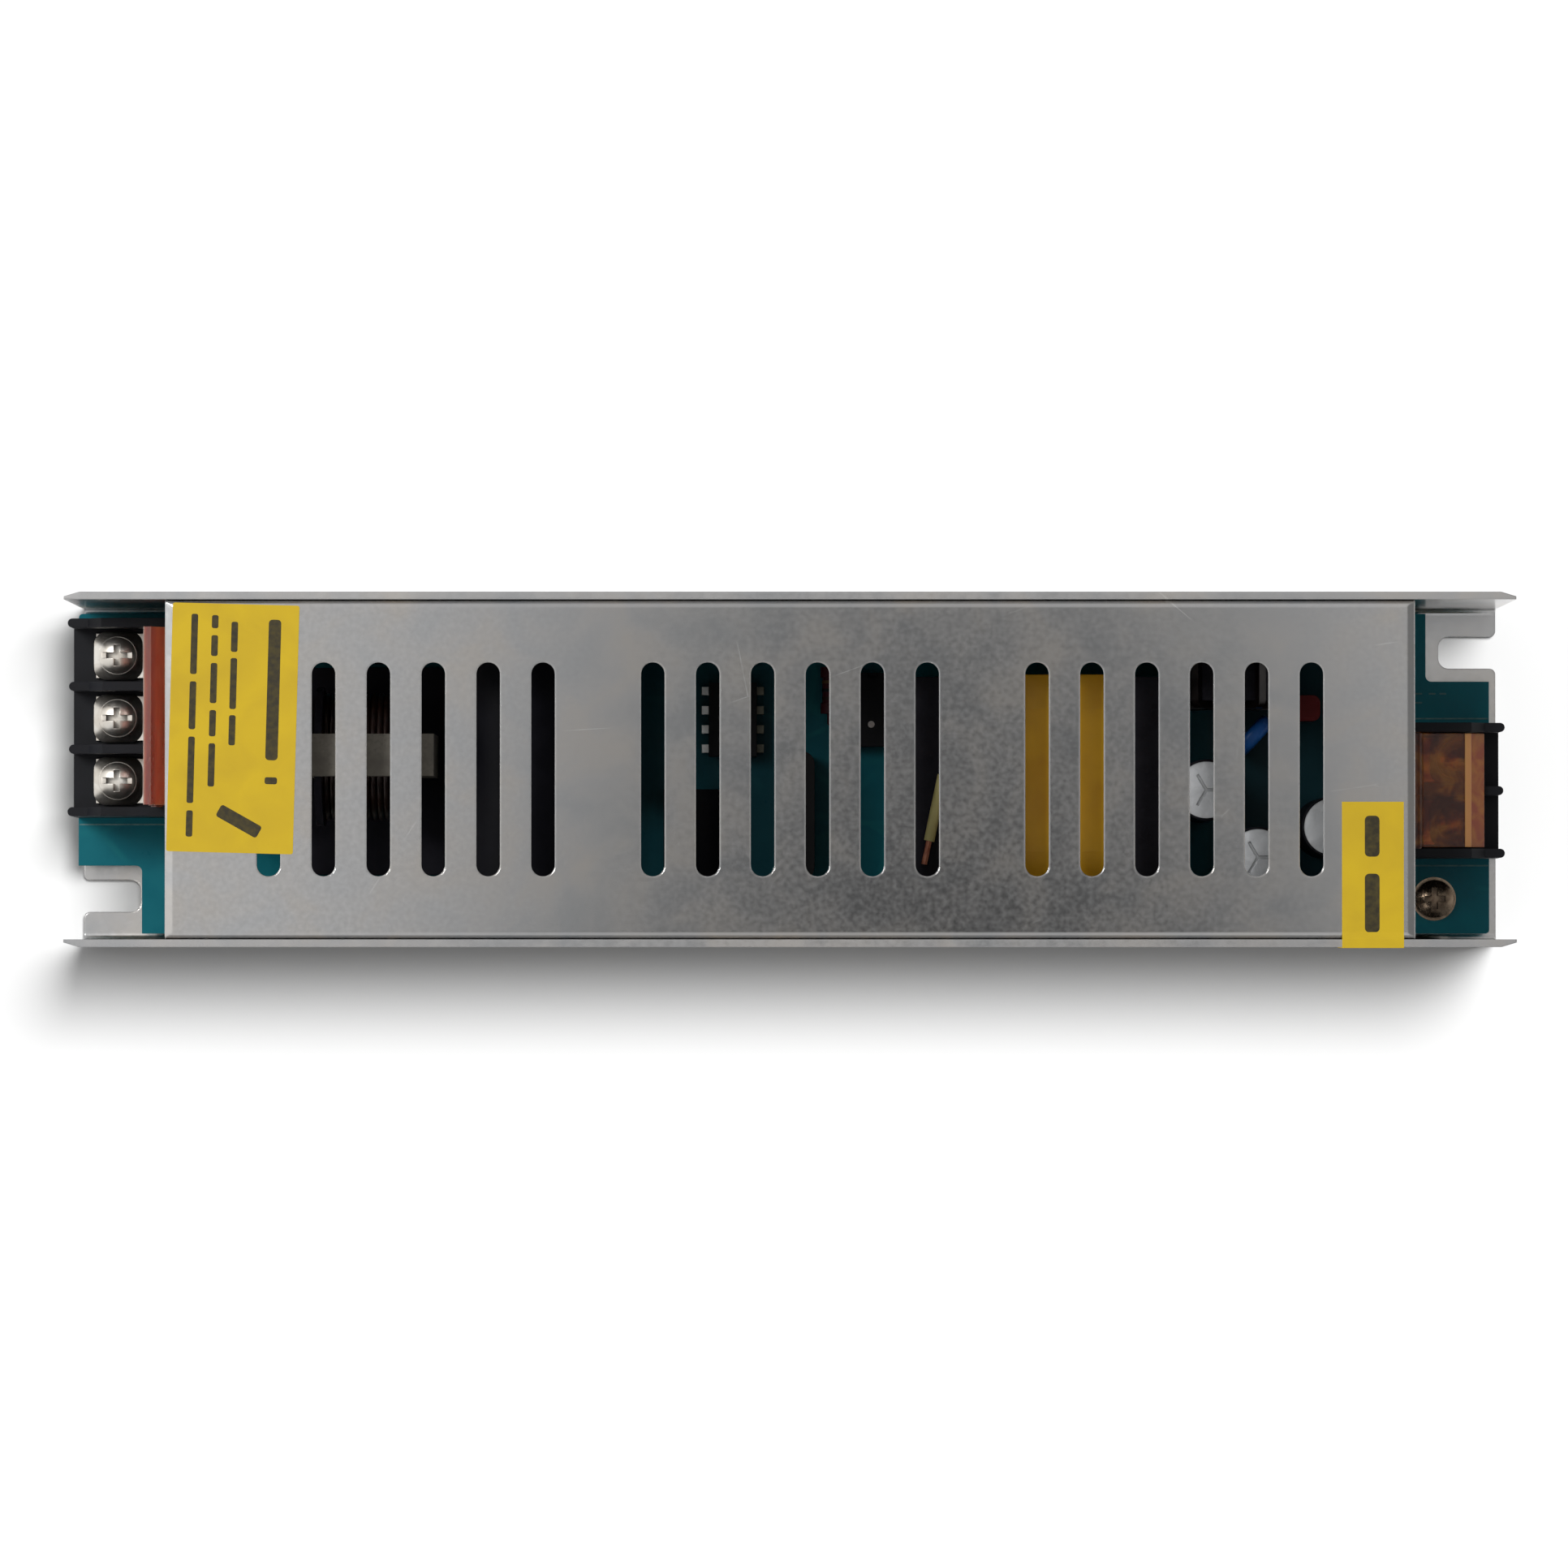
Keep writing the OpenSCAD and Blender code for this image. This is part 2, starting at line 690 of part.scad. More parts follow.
module large_label() {
    color("gold")
        translate([label_end - cover_l / 2, label_y, cover_top])
            rotate([0, 0, label_turn])
                linear_extrude(label_t) rounded_rect(label_w, label_l, label_corner_r);
}

// Strip over the edge of the cover, across the gap and down the outside of the wall at -Y
module seal_label() {
    flat_y = inner_w / 2 - cover_bend_outer_r;
    wall_y = inner_w / 2;
    outer_y = body_w / 2;
    foot_z = body_h - seal_fold;
    color("gold")
        translate([cover_l / 2 - seal_end, 0, 0])
            along_x(seal_w)
                polygon([
                    [-seal_y, cover_top], [-flat_y, cover_top], [-wall_y, body_h],
                    [-outer_y, body_h], [-outer_y, foot_z], [-outer_y - label_t, foot_z],
                    [-outer_y - label_t, body_h + label_t], [-wall_y, body_h + label_t],
                    [-flat_y, cover_top + label_t], [-seal_y, cover_top + label_t]
                ]);
}

// Cut-away corner of the board above the mounting slot at the output end
module board_notch() {
    translate([board_notch_l / 2, board_notch_w / 2])
        rounded_rect(board_notch_l, board_notch_w, board_notch_r);
    translate([board_notch_l / 2, 0]) square([board_notch_l / 2 + cut, board_notch_w + cut]);
    translate([0, board_notch_w / 2]) square([board_notch_l + cut, board_notch_w / 2 + cut]);
}

module circuit_board() {
    color("teal")
        translate([0, 0, board_z])
            linear_extrude(board_t)
                difference() {
                    translate([-board_shift, 0]) rounded_rect(board_l, board_w, board_corner_r);
                    translate([board_x1 - board_notch_l, board_w / 2 - board_notch_w]) board_notch();
                    translate([board_x0 + board_notch_l, board_notch_w - board_w / 2])
                        rotate(180) board_notch();
                    for (at = board_screw_at)
                        translate(at) circle(d = board_screw_d + 2 * board_screw_fit);
                }
}

module board_standoffs() {
    color("silver")
        for (at = board_screw_at)
            translate([at[0], at[1], 0])
                difference() {
                    union() {
                        cylinder(d = standoff_foot_d, h = sheet_t);
                        translate([0, 0, sheet_t]) cylinder(d = standoff_d, h = standoff_h);
                    }
                    translate([0, 0, -cut])
                        cylinder(d = board_screw_d + 2 * board_screw_fit, h = board_z + 2 * cut);
                }
}

module board_screws() {
    color("silver")
        for (at = board_screw_at)
            on_board(at) {
                difference() {
                    pan_head(board_head_d, board_head_h, board_dome_h);
                    translate([0, 0, board_head_h])
                        cross_recess(board_cross_span, board_cross_w, board_cross_depth);
                }
                translate([0, 0, -board_t - standoff_h])
                    cylinder(d = board_screw_d, h = board_t + standoff_h);
            }
}

// Thin sheet on the base that turns up beside the board
module insulation_sheet() {
    sheet_w = inner_w - 2 * insulation_gap;
    rise = board_top + insulation_rise - sheet_t;
    corner_r = bend_r + insulation_gap;
    color("dimgray")
        difference() {
            translate([0, 0, sheet_t])
                along_x(cover_l - 2 * insulation_end)
                    difference() {
                        tub_outline(sheet_w, rise, corner_r);
                        translate([0, insulation_t])
                            tub_outline(sheet_w - 2 * insulation_t, rise, corner_r - insulation_t);
                    }
            for (at = board_screw_at)
                translate([at[0], at[1], 0])
                    cylinder(d = standoff_d + 2 * insulation_hole_gap, h = board_z);
        }
}

// Puts a terminal block's own frame at the input end, facing -X
module at_input_block() {
    translate([board_x0 - input_overhang, input_block_y, board_top])
        rotate([0, 0, 180]) children();
}

// Puts a terminal block's own frame at the output end, facing +X
module at_output_block() {
    translate([board_x1 + output_overhang, output_block_y, board_top]) children();
}

// Offset of a terminal across its block
function pole_y(i, poles) = (i - (poles - 1) / 2) * pole_pitch;

// Side outline of a barrier: its front slopes under the closed lid
module barrier_outline(top, nose) {
    slope_x = lid_flat_l - hinge_back;
    front_x = lid_l - hinge_back;
    polygon([
        [-block_depth, 0], [nose, 0], [nose, top - lid_drop], [front_x, top - lid_drop],
        [slope_x, top], [-block_depth, top]
    ]);
}

// Barrier with a round nose
module barrier(top) {
    flat_nose = barrier_nose - barrier_t / 2;
    along_y(barrier_t) barrier_outline(top, flat_nose);
    translate([flat_nose, 0, 0]) cylinder(d = barrier_t, h = top - lid_drop);
}

// Moulded body of a barrier terminal block
module terminal_body(poles) {
    block_w = poles * pole_pitch + barrier_t;
    lid_space = poles * pole_pitch - barrier_t;
    color("#1c1c1e")
        difference() {
            union() {
                translate([-block_depth, -block_w / 2, 0]) cube([block_depth, block_w, block_floor_h]);
                translate([-block_depth, -block_w / 2, 0]) cube([block_back_t, block_w, block_back_h]);
                for (i = [0 : poles])
                    translate([0, (i - poles / 2) * pole_pitch, 0])
                        barrier(i == 0 || i == poles ? end_wall_h : inner_barrier_h);
            }
            translate([-hinge_back, 0, hinge_h])
                rotate([90, 0, 0]) {
                    cylinder(d = hinge_pin_d + 2 * hinge_pin_fit, h = block_w + 2 * cut, center = true);
                    cylinder(r = lid_barrel_r + hinge_relief, h = lid_space, center = true);
                }
            for (i = [0 : poles - 1])
                translate([0, pole_y(i, poles), 0]) {
                    translate([-terminal_screw_back, 0, screw_well_web])
                        cylinder(d = terminal_screw_d + 2 * screw_well_gap, h = block_floor_h);
                    translate([
                        -contact_front - contact_l - contact_slot_gap,
                        -contact_leg_w / 2 - contact_slot_gap,
                        -cut
                    ])
                        cube([
                            contact_t + 2 * contact_slot_gap,
                            contact_leg_w + 2 * contact_slot_gap,
                            block_floor_h + 2 * cut
                        ]);
                }
        }
}

// Contact bars with a threaded hole and a solder leg at the back
module contacts(poles) {
    contact_w = bay_w - 2 * contact_gap;
    color("#d9d4c4")
        for (i = [0 : poles - 1])
            translate([-contact_front - contact_l, pole_y(i, poles), 0]) {
                difference() {
                    translate([0, -contact_w / 2, block_floor_h]) cube([contact_l, contact_w, contact_t]);
                    translate([contact_front + contact_l - terminal_screw_back, 0, block_floor_h - cut])
                        cylinder(d = terminal_screw_d + 2 * terminal_screw_fit, h = contact_t + 2 * cut);
                }
                translate([0, -contact_leg_w / 2, 0]) cube([contact_t, contact_leg_w, block_floor_h]);
            }
}

// Captive square plate under a terminal screw, with a rim that falls away from the screw head
module clamp_plate(i, poles) {
    color("#e2e0da")
        translate([-terminal_screw_back, pole_y(i, poles), clamp_z])
            difference() {
                intersection() {
                    linear_extrude(clamp_t) rounded_rect(clamp_w, clamp_w, clamp_corner_r);
                    cylinder(r1 = clamp_foot_r, r2 = clamp_top_r, h = clamp_t);
                }
                translate([0, 0, -cut])
                    cylinder(d = terminal_screw_d + 2 * clamp_hole_gap, h = clamp_t + 2 * cut);
            }
}

// Terminal screw with a combined slot and cross in its domed head
module terminal_screw(i, poles) {
    color("#cfcdc6")
        translate([-terminal_screw_back, pole_y(i, poles), screw_seat_z]) {
            difference() {
                pan_head(terminal_head_d, terminal_head_h, terminal_dome_h);
                translate([0, 0, terminal_head_h]) {
                    cross_recess(terminal_cross_span, terminal_recess_w, terminal_cross_depth);
                    cube([terminal_head_d + cut, terminal_recess_w, 2 * terminal_slot_depth], center = true);
                }
            }
            translate([0, 0, -terminal_shank_l]) cylinder(d = terminal_screw_d, h = terminal_shank_l);
        }
}

// Amber lid with a rib over its sloped front, a hinge barrel and a pin in each end wall of its block
module terminal_lid(poles, angle) {
    inner_l = poles * pole_pitch - barrier_t;
    color("#b5651d")
        translate([-hinge_back, 0, hinge_h])
            rotate([0, -angle, 0]) {
                along_y(inner_l - 2 * lid_side_gap) {
                    polygon([
                        [0, lid_t / 2], [lid_flat_l, lid_t / 2], [lid_l, lid_t / 2 - lid_drop],
                        [lid_l, -lid_t / 2 - lid_drop], [lid_flat_l, -lid_t / 2], [0, -lid_t / 2]
                    ]);
                    translate([lid_flat_l - lid_rib_w, 0]) square([lid_rib_w, lid_t / 2 + lid_rib_h]);
                    circle(lid_barrel_r);
                }
                rotate([90, 0, 0]) cylinder(d = hinge_pin_d, h = inner_l + 2 * barrier_t, center = true);
            }
}

// Axial fuse tube lying along the case
module fuse_tube() {
    color("ghostwhite")
        placed(fuse_at)
            translate([0, 0, fuse_d / 2])
                rotate([0, 90, 0])
                    cylinder(d = fuse_d - 2 * fuse_cap_t, h = fuse_l - 2 * fuse_cap_l, center = true);
}

module fuse_caps() {
    color("silver")
        placed(fuse_at)
            translate([0, 0, fuse_d / 2])
                for (turn = [0, 180])
                    rotate([0, 90, turn])
                        translate([0, 0, fuse_l / 2 - fuse_cap_l]) cylinder(d = fuse_d, h = fuse_cap_l);
}

module line_capacitor() {
    color("khaki")
        placed(line_cap_at)
            linear_extrude(line_cap_size[2])
                rounded_rect(line_cap_size[0], line_cap_size[1], line_cap_corner_r);
}

// Dipped disc standing on its leads
module inrush_limiter() {
    color("#26382c")
        placed(inrush_at)
            translate([0, 0, inrush_lift + inrush_d / 2])
                rotate([90, 0, 0]) dipped_disc(inrush_d, inrush_t);
}

// Disc with rounded rims, lying flat and centred
module dipped_disc(d, t) {
    rim_r = t / 3;
    rotate_extrude() {
        translate([0, -t / 2]) square([d / 2 - rim_r, t]);
        translate([0, rim_r - t / 2]) square([d / 2, t - 2 * rim_r]);
        for (s = [-1, 1])
            translate([d / 2 - rim_r, s * (t / 2 - rim_r)]) circle(rim_r);
    }
}

// Two U-shaped ferrite halves that meet in the middle of the choke
module choke_core() {
    window_top = choke_leg_h / 2 + choke_window_h;
    color("gray")
        placed(choke_at)
            translate([0, 0, choke_axis_h])
                for (side = [0, 1])
                    mirror([side, 0, 0])
                        along_y(choke_core_w)
                            difference() {
                                translate([core_joint / 2, -choke_leg_h / 2])
                                    square([
                                        (choke_core_l - core_joint) / 2,
                                        2 * choke_leg_h + choke_window_h
                                    ]);
                                translate([-cut, choke_leg_h / 2])
                                    square([choke_window_l / 2 + cut, window_top - choke_leg_h / 2]);
                            }
}

// Bobbin with three flanges on a base plate and a square way for the core
module choke_bobbin() {
    color("#202020")
        placed(choke_at)
            difference() {
                union() {
                    translate([0, 0, choke_axis_h])
                        rotate([0, 90, 0]) {
                            cylinder(r = choke_tube_r, h = choke_bobbin_l, center = true);
                            for (s = [-1, 0, 1])
                                translate([0, 0, s * (choke_bobbin_l - choke_flange_t) / 2])
                                    cylinder(r = choke_flange_r, h = choke_flange_t, center = true);
                        }
                    for (s = [-1, 0, 1])
                        translate([s * (choke_bobbin_l - choke_flange_t) / 2, 0, choke_foot_h])
                            cube([choke_flange_t, choke_flange_r, 2 * choke_foot_h], center = true);
                    translate([0, choke_base_shift, 0])
                        linear_extrude(choke_foot_h)
                            rounded_rect(choke_base_size[0], choke_base_size[1], choke_base_r);
                }
                translate([0, 0, choke_axis_h + choke_play])
                    cube([
                        choke_core_l,
                        choke_core_w + 2 * choke_play,
                        choke_leg_h + 2 * choke_play
                    ], center = true);
            }
}

// Two windings with their outer turns of round wire
module choke_windings() {
    turns = floor(choke_winding_l / choke_wire_d);
    outer_turn_r = choke_winding_r - choke_wire_d / 2;
    color("#8a4b2a")
        placed(choke_at)
            translate([0, 0, choke_axis_h])
                for (s = [-1, 1])
                    translate([s * (choke_winding_l + choke_flange_t) / 2, 0, 0])
                        rotate([0, 90, 0])
                            rotate_extrude() {
                                translate([choke_tube_r, -choke_winding_l / 2])
                                    square([outer_turn_r - choke_tube_r, choke_winding_l]);
                                for (k = [0 : turns - 1])
                                    translate([outer_turn_r, (k - (turns - 1) / 2) * choke_wire_d])
                                        circle(d = choke_wire_d, $fn = 24);
                            }
}

module bridge_rectifier() {
    color("#232323")
        placed(bridge_at)
            translate([0, 0, bridge_lift])
                along_x(bridge_size[0])
                    polygon([
                        [-bridge_size[1] / 2, 0], [bridge_size[1] / 2, 0],
                        [bridge_size[1] / 2, bridge_size[2] - bridge_chamfer],
                        [bridge_size[1] / 2 - bridge_chamfer, bridge_size[2]],
                        [-bridge_size[1] / 2, bridge_size[2]]
                    ]);
}

// Aluminium can with a crimped groove near its base and a scored top
module capacitor_can(d, h) {
    can_r = d / 2 - sleeve_t;
    groove_r = d / 20;
    score_w = 0.4;
    score_depth = 0.3;
    difference() {
        rotate_extrude()
            difference() {
                square([can_r, h - sleeve_t]);
                translate([can_r + groove_r / 3, d / 4]) circle(groove_r);
            }
        translate([0, 0, h - sleeve_t])
            for (turn = [0, 120, 240])
                rotate([0, 0, turn])
                    translate([0, -score_w / 2, -score_depth])
                        cube([0.6 * can_r, score_w, score_depth + cut]);
    }
}

// Shrink sleeve of a can, with a narrow rim on its top
module capacitor_sleeve(d, h) {
    rotate_extrude()
        difference() {
            square([d / 2, h]);
            translate([0, -cut]) square([d / 2 - sleeve_t, h - sleeve_t + cut]);
            square([d / 2 - sleeve_rim, h + cut]);
        }
}

// Puts a capacitor that lies across the board, with its top towards +Y
module lying_across(at, d, l) {
    placed(at)
        translate([0, -l / 2, d / 2]) rotate([-90, 0, 0]) children();
}

module bulk_capacitor() {
    color("gainsboro") lying_across(bulk_at, bulk_d, bulk_l) capacitor_can(bulk_d, bulk_l);
}

module bulk_sleeve() {
    color("#161616") lying_across(bulk_at, bulk_d, bulk_l) capacitor_sleeve(bulk_d, bulk_l);
}

module control_capacitor() {
    color("gainsboro")
        lying_across(control_cap_at, control_cap_d, control_cap_l)
            capacitor_can(control_cap_d, control_cap_l);
}

module control_sleeve() {
    color("#161616")
        lying_across(control_cap_at, control_cap_d, control_cap_l)
            capacitor_sleeve(control_cap_d, control_cap_l);
}

module output_capacitors() {
    color("gainsboro")
        for (at = output_cap_at)
            placed(at) capacitor_can(output_cap_d, output_cap_h);
}

module output_sleeves() {
    color("#161616")
        for (at = output_cap_at)
            placed(at) capacitor_sleeve(output_cap_d, output_cap_h);
}

// Length of a dual in-line body with a given number of leads on each side
function dip_l(leads) = leads * dip_pitch - dip_end_trim;

// Dual in-line body with an index notch
module dip_body(leads) {
    translate([0, 0, dip_lift])
        difference() {
            translate([-dip_w / 2, -dip_l(leads) / 2, 0]) cube([dip_w, dip_l(leads), dip_h]);
            translate([0, dip_l(leads) / 2, dip_h - dip_notch_depth])
                cylinder(d = dip_notch_d, h = dip_notch_depth + cut);
        }
}

// Bent leads of a dual in-line body, from its sides down to the board
module dip_leads(leads) {
    shoulder_z = dip_lift + dip_h / 2;
    reach = (dip_row - dip_w) / 2 + dip_lead_t;
    for (side = [0, 1], k = [0 : leads - 1])
        mirror([side, 0, 0])
            translate([dip_w / 2, (k - (leads - 1) / 2) * dip_pitch, 0])
                along_y(dip_lead_w) {
                    translate([0, shoulder_z - dip_lead_t]) square([reach, dip_lead_t]);
                    translate([reach - dip_lead_t, 0]) square([dip_lead_t, shoulder_z]);
                }
}

module controller_ic() {
    color("#1b1b1b") placed(controller_at) dip_body(controller_leads);
}

module optocoupler() {
    color("#1b1b1b") placed(optocoupler_at) dip_body(optocoupler_leads);
}

// Dipped film capacitor with well-rounded corners
module film_capacitor() {
    color("#1e1a19")
        placed(film_cap_at)
            translate([0, 0, film_cap_lift])
                linear_extrude(film_cap_h) rounded_rect(film_cap_t, film_cap_l, film_cap_corner_r);
}

// Axial resistor with beaded ends and leads bent down to the board
module resistor() {
    bead_d = resistor_d + 2 * resistor_bead_rise;
    axis_z = resistor_lift + bead_d / 2;
    span = resistor_l + 2 * resistor_lead_reach;
    translate([0, 0, axis_z])
        rotate([0, 90, 0]) {
            cylinder(d = resistor_d, h = resistor_l, center = true);
            for (s = [-1, 1])
                translate([0, 0, s * (resistor_l - resistor_bead_l) / 2])
                    cylinder(d = bead_d, h = resistor_bead_l, center = true);
            cylinder(d = lead_d, h = span, center = true);
        }
    for (s = [-1, 1])
        translate([s * span / 2, 0, 0]) {
            cylinder(d = lead_d, h = axis_z);
            translate([0, 0, axis_z]) sphere(d = lead_d);
        }
}

module resistors() {
    color("#9c5a3c")
        for (at = resistor_at)
            placed(at) resistor();
}

// Round lead that stands on the board under a raised part
module standing_lead(x, y, h) {
    translate([x, y, 0]) cylinder(d = lead_d, h = h);
}

// Height of a standing disc's rim above its lowest point, over the inner side of its leads
function disc_rim_h(d) = d / 2 - sqrt(pow(d / 2, 2) - pow(disc_lead_reach - lead_d / 2, 2));

// Tinned leads of the raised parts
module component_leads() {
    color("gainsboro") {
        placed(controller_at) dip_leads(controller_leads);
        placed(optocoupler_at) dip_leads(optocoupler_leads);
        placed(inrush_at)
            for (s = [-1, 1])
                standing_lead(s * disc_lead_reach, 0, inrush_lift + disc_rim_h(inrush_d));
        placed(disc_cap_at)
            for (s = [-1, 1])
                standing_lead(s * disc_lead_reach, 0, disc_cap_lift + disc_rim_h(disc_cap_d));
        placed(snubber_at)
            for (s = [-1, 1])
                standing_lead(0, s * snubber_lead_reach, snubber_lift);
        placed(film_cap_at)
            for (s = [-1, 1])
                standing_lead(0, s * film_cap_l / 4, film_cap_lift);
        placed(bridge_at)
            for (k = [0 : 3])
                standing_lead(0, (k - 1.5) * bridge_lead_pitch, bridge_lift);
        for (x = package_x)
            on_board([x, inner_w / 2 - pad_t - package_t / 2])
                for (k = [-1, 0, 1])
                    standing_lead(k * package_lead_pitch, 0, package_lift);
        placed(fuse_at)
            for (turn = [0, 180])
                rotate([0, 0, turn])
                    translate([fuse_l / 2 + lead_d / 2, 0, 0]) cylinder(d = lead_d, h = fuse_d / 2);
    }
}

// Puts a part against the inside of the wall at +Y, with Y zero on the wall and Z zero on the board
module at_wall(x) {
    translate([x, inner_w / 2, board_top]) children();
}

// Tabbed power package standing against its pad
module power_package() {
    translate([0, -pad_t, package_lift]) {
        translate([-package_w / 2, -package_t, 0]) cube([package_w, package_t, package_h]);
        difference() {
            translate([-package_w / 2, -tab_t, package_h]) cube([package_w, tab_t, tab_h]);
            translate([0, cut, package_screw_z - package_lift])
                rotate([90, 0, 0]) cylinder(d = flat_screw_d + 2 * flat_screw_fit, h = tab_t + 2 * cut);
        }
    }
}

module power_transistor() {
    color("#1d1d1d")
        for (x = transistor_x)
            at_wall(x) power_package();
}

module output_rectifiers() {
    color("#1d1d1d")
        for (x = rectifier_x)
            at_wall(x) power_package();
}

module package_pads() {
    pad_w = package_w + 2 * pad_margin;
    pad_h = package_h + tab_h + 2 * pad_margin;
    color("lightpink")
        for (x = package_x)
            at_wall(x)
                difference() {
                    translate([-pad_w / 2, -pad_t, package_lift - pad_margin]) cube([pad_w, pad_t, pad_h]);
                    translate([0, cut, package_screw_z])
                        rotate([90, 0, 0])
                            cylinder(d = flat_screw_d + 2 * flat_screw_fit, h = pad_t + 2 * cut);
                }
}

module package_screws() {
    color("silver") at_package_screws() flat_screw();
}

module package_nuts() {
    color("silver")
        for (x = package_x)
            at_wall(x)
                translate([0, -pad_t - tab_t, package_screw_z])
                    rotate([90, 0, 0])
                        difference() {
                            cylinder(d = nut_w / cos(30), h = nut_t, $fn = 6);
                            translate([0, 0, -cut])
                                cylinder(d = flat_screw_d + 2 * nut_fit, h = nut_t + 2 * cut);
                        }
}

// Places the axis of the transformer's middle leg
module at_transformer() {
    placed(transformer_at) translate([0, 0, core_axis_h]) children();
}

// Plan of one half of the core without its middle leg, from its joint at X zero
module core_half_outline() {
    difference() {
        translate([core_joint / 2, -core_w / 2]) square([(core_l - core_joint) / 2, core_w]);
        translate([-cut, core_leg_w - core_w / 2]) square([core_leg_l + cut, core_w - 2 * core_leg_w]);
    }
}

// Two E-shaped ferrite halves with a low middle leg that meet in the middle of the transformer
module transformer_core() {
    color("#2b2b2d")
        at_transformer()
            for (side = [0, 1])
                mirror([side, 0, 0]) {
                    translate([0, 0, -core_h / 2]) linear_extrude(core_h) core_half_outline();
                    translate([core_joint / 2, -core_mid_w / 2, -core_mid_h / 2])
                        cube([core_leg_l + core_end_t / 2, core_mid_w, core_mid_h]);
                }
}

// Bobbin with a tube on the middle leg, two flanges and a rail on the board at each end
module transformer_bobbin() {
    tube_w = core_mid_w + 2 * core_play;
    tube_h = core_mid_h + 2 * core_play;
    flange_w = 2 * (winding_half_w + bobbin_flange_rise);
    flange_h = 2 * winding_half_h;
    rail_h = core_axis_h - core_h / 2;
    color("#232323")
        at_transformer()
            difference() {
                union() {
                    cube([bobbin_l, tube_w + 2 * bobbin_t, tube_h + 2 * bobbin_t], center = true);
                    for (s = [-1, 1]) {
                        translate([s * (bobbin_l - bobbin_t) / 2, 0, 0])
                            cube([bobbin_t, flange_w, flange_h], center = true);
                        translate([
                            s * (bobbin_l / 2 + bobbin_rail_l / 2 - bobbin_t),
                            0,
                            rail_h / 2 - core_axis_h
                        ])
                            cube([bobbin_rail_l, flange_w, rail_h], center = true);
                    }
                }
                translate([0, 0, core_play]) cube([core_l, tube_w, tube_h], center = true);
            }
}

// Winding on the bobbin, with round corners
module transformer_winding() {
    color("#b07a3a")
        at_transformer()
            along_x(bobbin_l - 2 * bobbin_t)
                difference() {
                    rounded_rect(2 * winding_half_w, 2 * winding_half_h, winding_corner_r);
                    square([
                        core_mid_w + 2 * core_play + 2 * bobbin_t,
                        core_mid_h + 2 * core_play + 2 * bobbin_t
                    ], center = true);
                }
}

// Section of the tape wrap: it runs over the winding and slants down to the outer legs
module tape_outline(grow) {
    top = winding_half_h + grow;
    side = core_w / 2 + grow;
    shoulder = core_h / 2 + grow;
    flat = winding_half_w + grow;
    polygon([
        [-flat, -top], [flat, -top], [side, -shoulder], [side, shoulder],
        [flat, top], [-flat, top], [-side, shoulder], [-side, -shoulder]
    ]);
}

module transformer_tape() {
    color("#d9a520")
        at_transformer()
            along_x(tape_l)
                difference() {
                    tape_outline(tape_t);
                    tape_outline(0);
                }
}

// Straight round rod between two points in plan, with its underside at a given height
module resting_rod(from, to, d, z) {
    run = to - from;
    translate([from[0], from[1], z + d / 2])
        rotate([0, 0, atan2(run[1], run[0])])
            rotate([0, 90, 0]) cylinder(d = d, h = norm(run));
}

// Sleeve of a winding lead that lies on the end of the core
module lead_sleeve() {
    color("#b9b37a")
        at_transformer()
            difference() {
                resting_rod(lead_from, lead_to, lead_sleeve_d, core_h / 2);
                resting_rod(
                    lead_from - (lead_to - lead_from),
                    lead_to + (lead_to - lead_from),
                    lead_wire_d,
                    core_h / 2 + (lead_sleeve_d - lead_wire_d) / 2
                );
            }
}

// Winding lead in its sleeve, with its bare end beyond it
module lead_wire() {
    color("#b87352")
        at_transformer()
            resting_rod(
                lead_from,
                lead_end,
                lead_wire_d,
                core_h / 2 + (lead_sleeve_d - lead_wire_d) / 2
            );
}

// Puts the output choke's ring on edge on the board, with its axis across the case
module at_output_choke() {
    placed(output_choke_at)
        translate([0, 0, output_choke_d / 2 + output_choke_wire_gap + output_choke_wire])
            rotate([90, 0, 0]) children();
}

module output_choke_core() {
    color("#2a2c2e")
        at_output_choke()
            translate([0, 0, -output_choke_t / 2])
                difference() {
                    cylinder(d = output_choke_d, h = output_choke_t);
                    translate([0, 0, -cut]) cylinder(d = output_choke_bore, h = output_choke_t + 2 * cut);
                }
}

// Turns of wire round the ring, each a rounded loop
module output_choke_winding() {
    ring_w = (output_choke_d - output_choke_bore) / 2;
    loop_w = ring_w + 2 * output_choke_wire_gap;
    corner_r = output_choke_wire_gap;
    color("#5a3020")
        at_output_choke()
            for (k = [0 : output_choke_turns - 1])
                rotate([0, 0, k * 360 / output_choke_turns])
                    translate([(output_choke_d + output_choke_bore) / 4, 0, 0])
                        along_y(output_choke_wire)
                            difference() {
                                rounded_rect(
                                    loop_w + 2 * output_choke_wire,
                                    output_choke_t + 2 * output_choke_wire,
                                    corner_r + output_choke_wire
                                );
                                rounded_rect(loop_w, output_choke_t, corner_r);
                            }
}

// Blue disc capacitor standing on edge
module safety_capacitor() {
    color("#2f62a8")
        placed(disc_cap_at)
            translate([0, 0, disc_cap_lift + disc_cap_d / 2])
                rotate([90, 0, 0]) dipped_disc(disc_cap_d, disc_cap_t);
}

module snubber_capacitor() {
    color("#8e2b22")
        placed(snubber_at)
            translate([0, 0, snubber_lift])
                linear_extrude(snubber_size[2])
                    rounded_rect(snubber_size[0], snubber_size[1], snubber_corner_r);
}

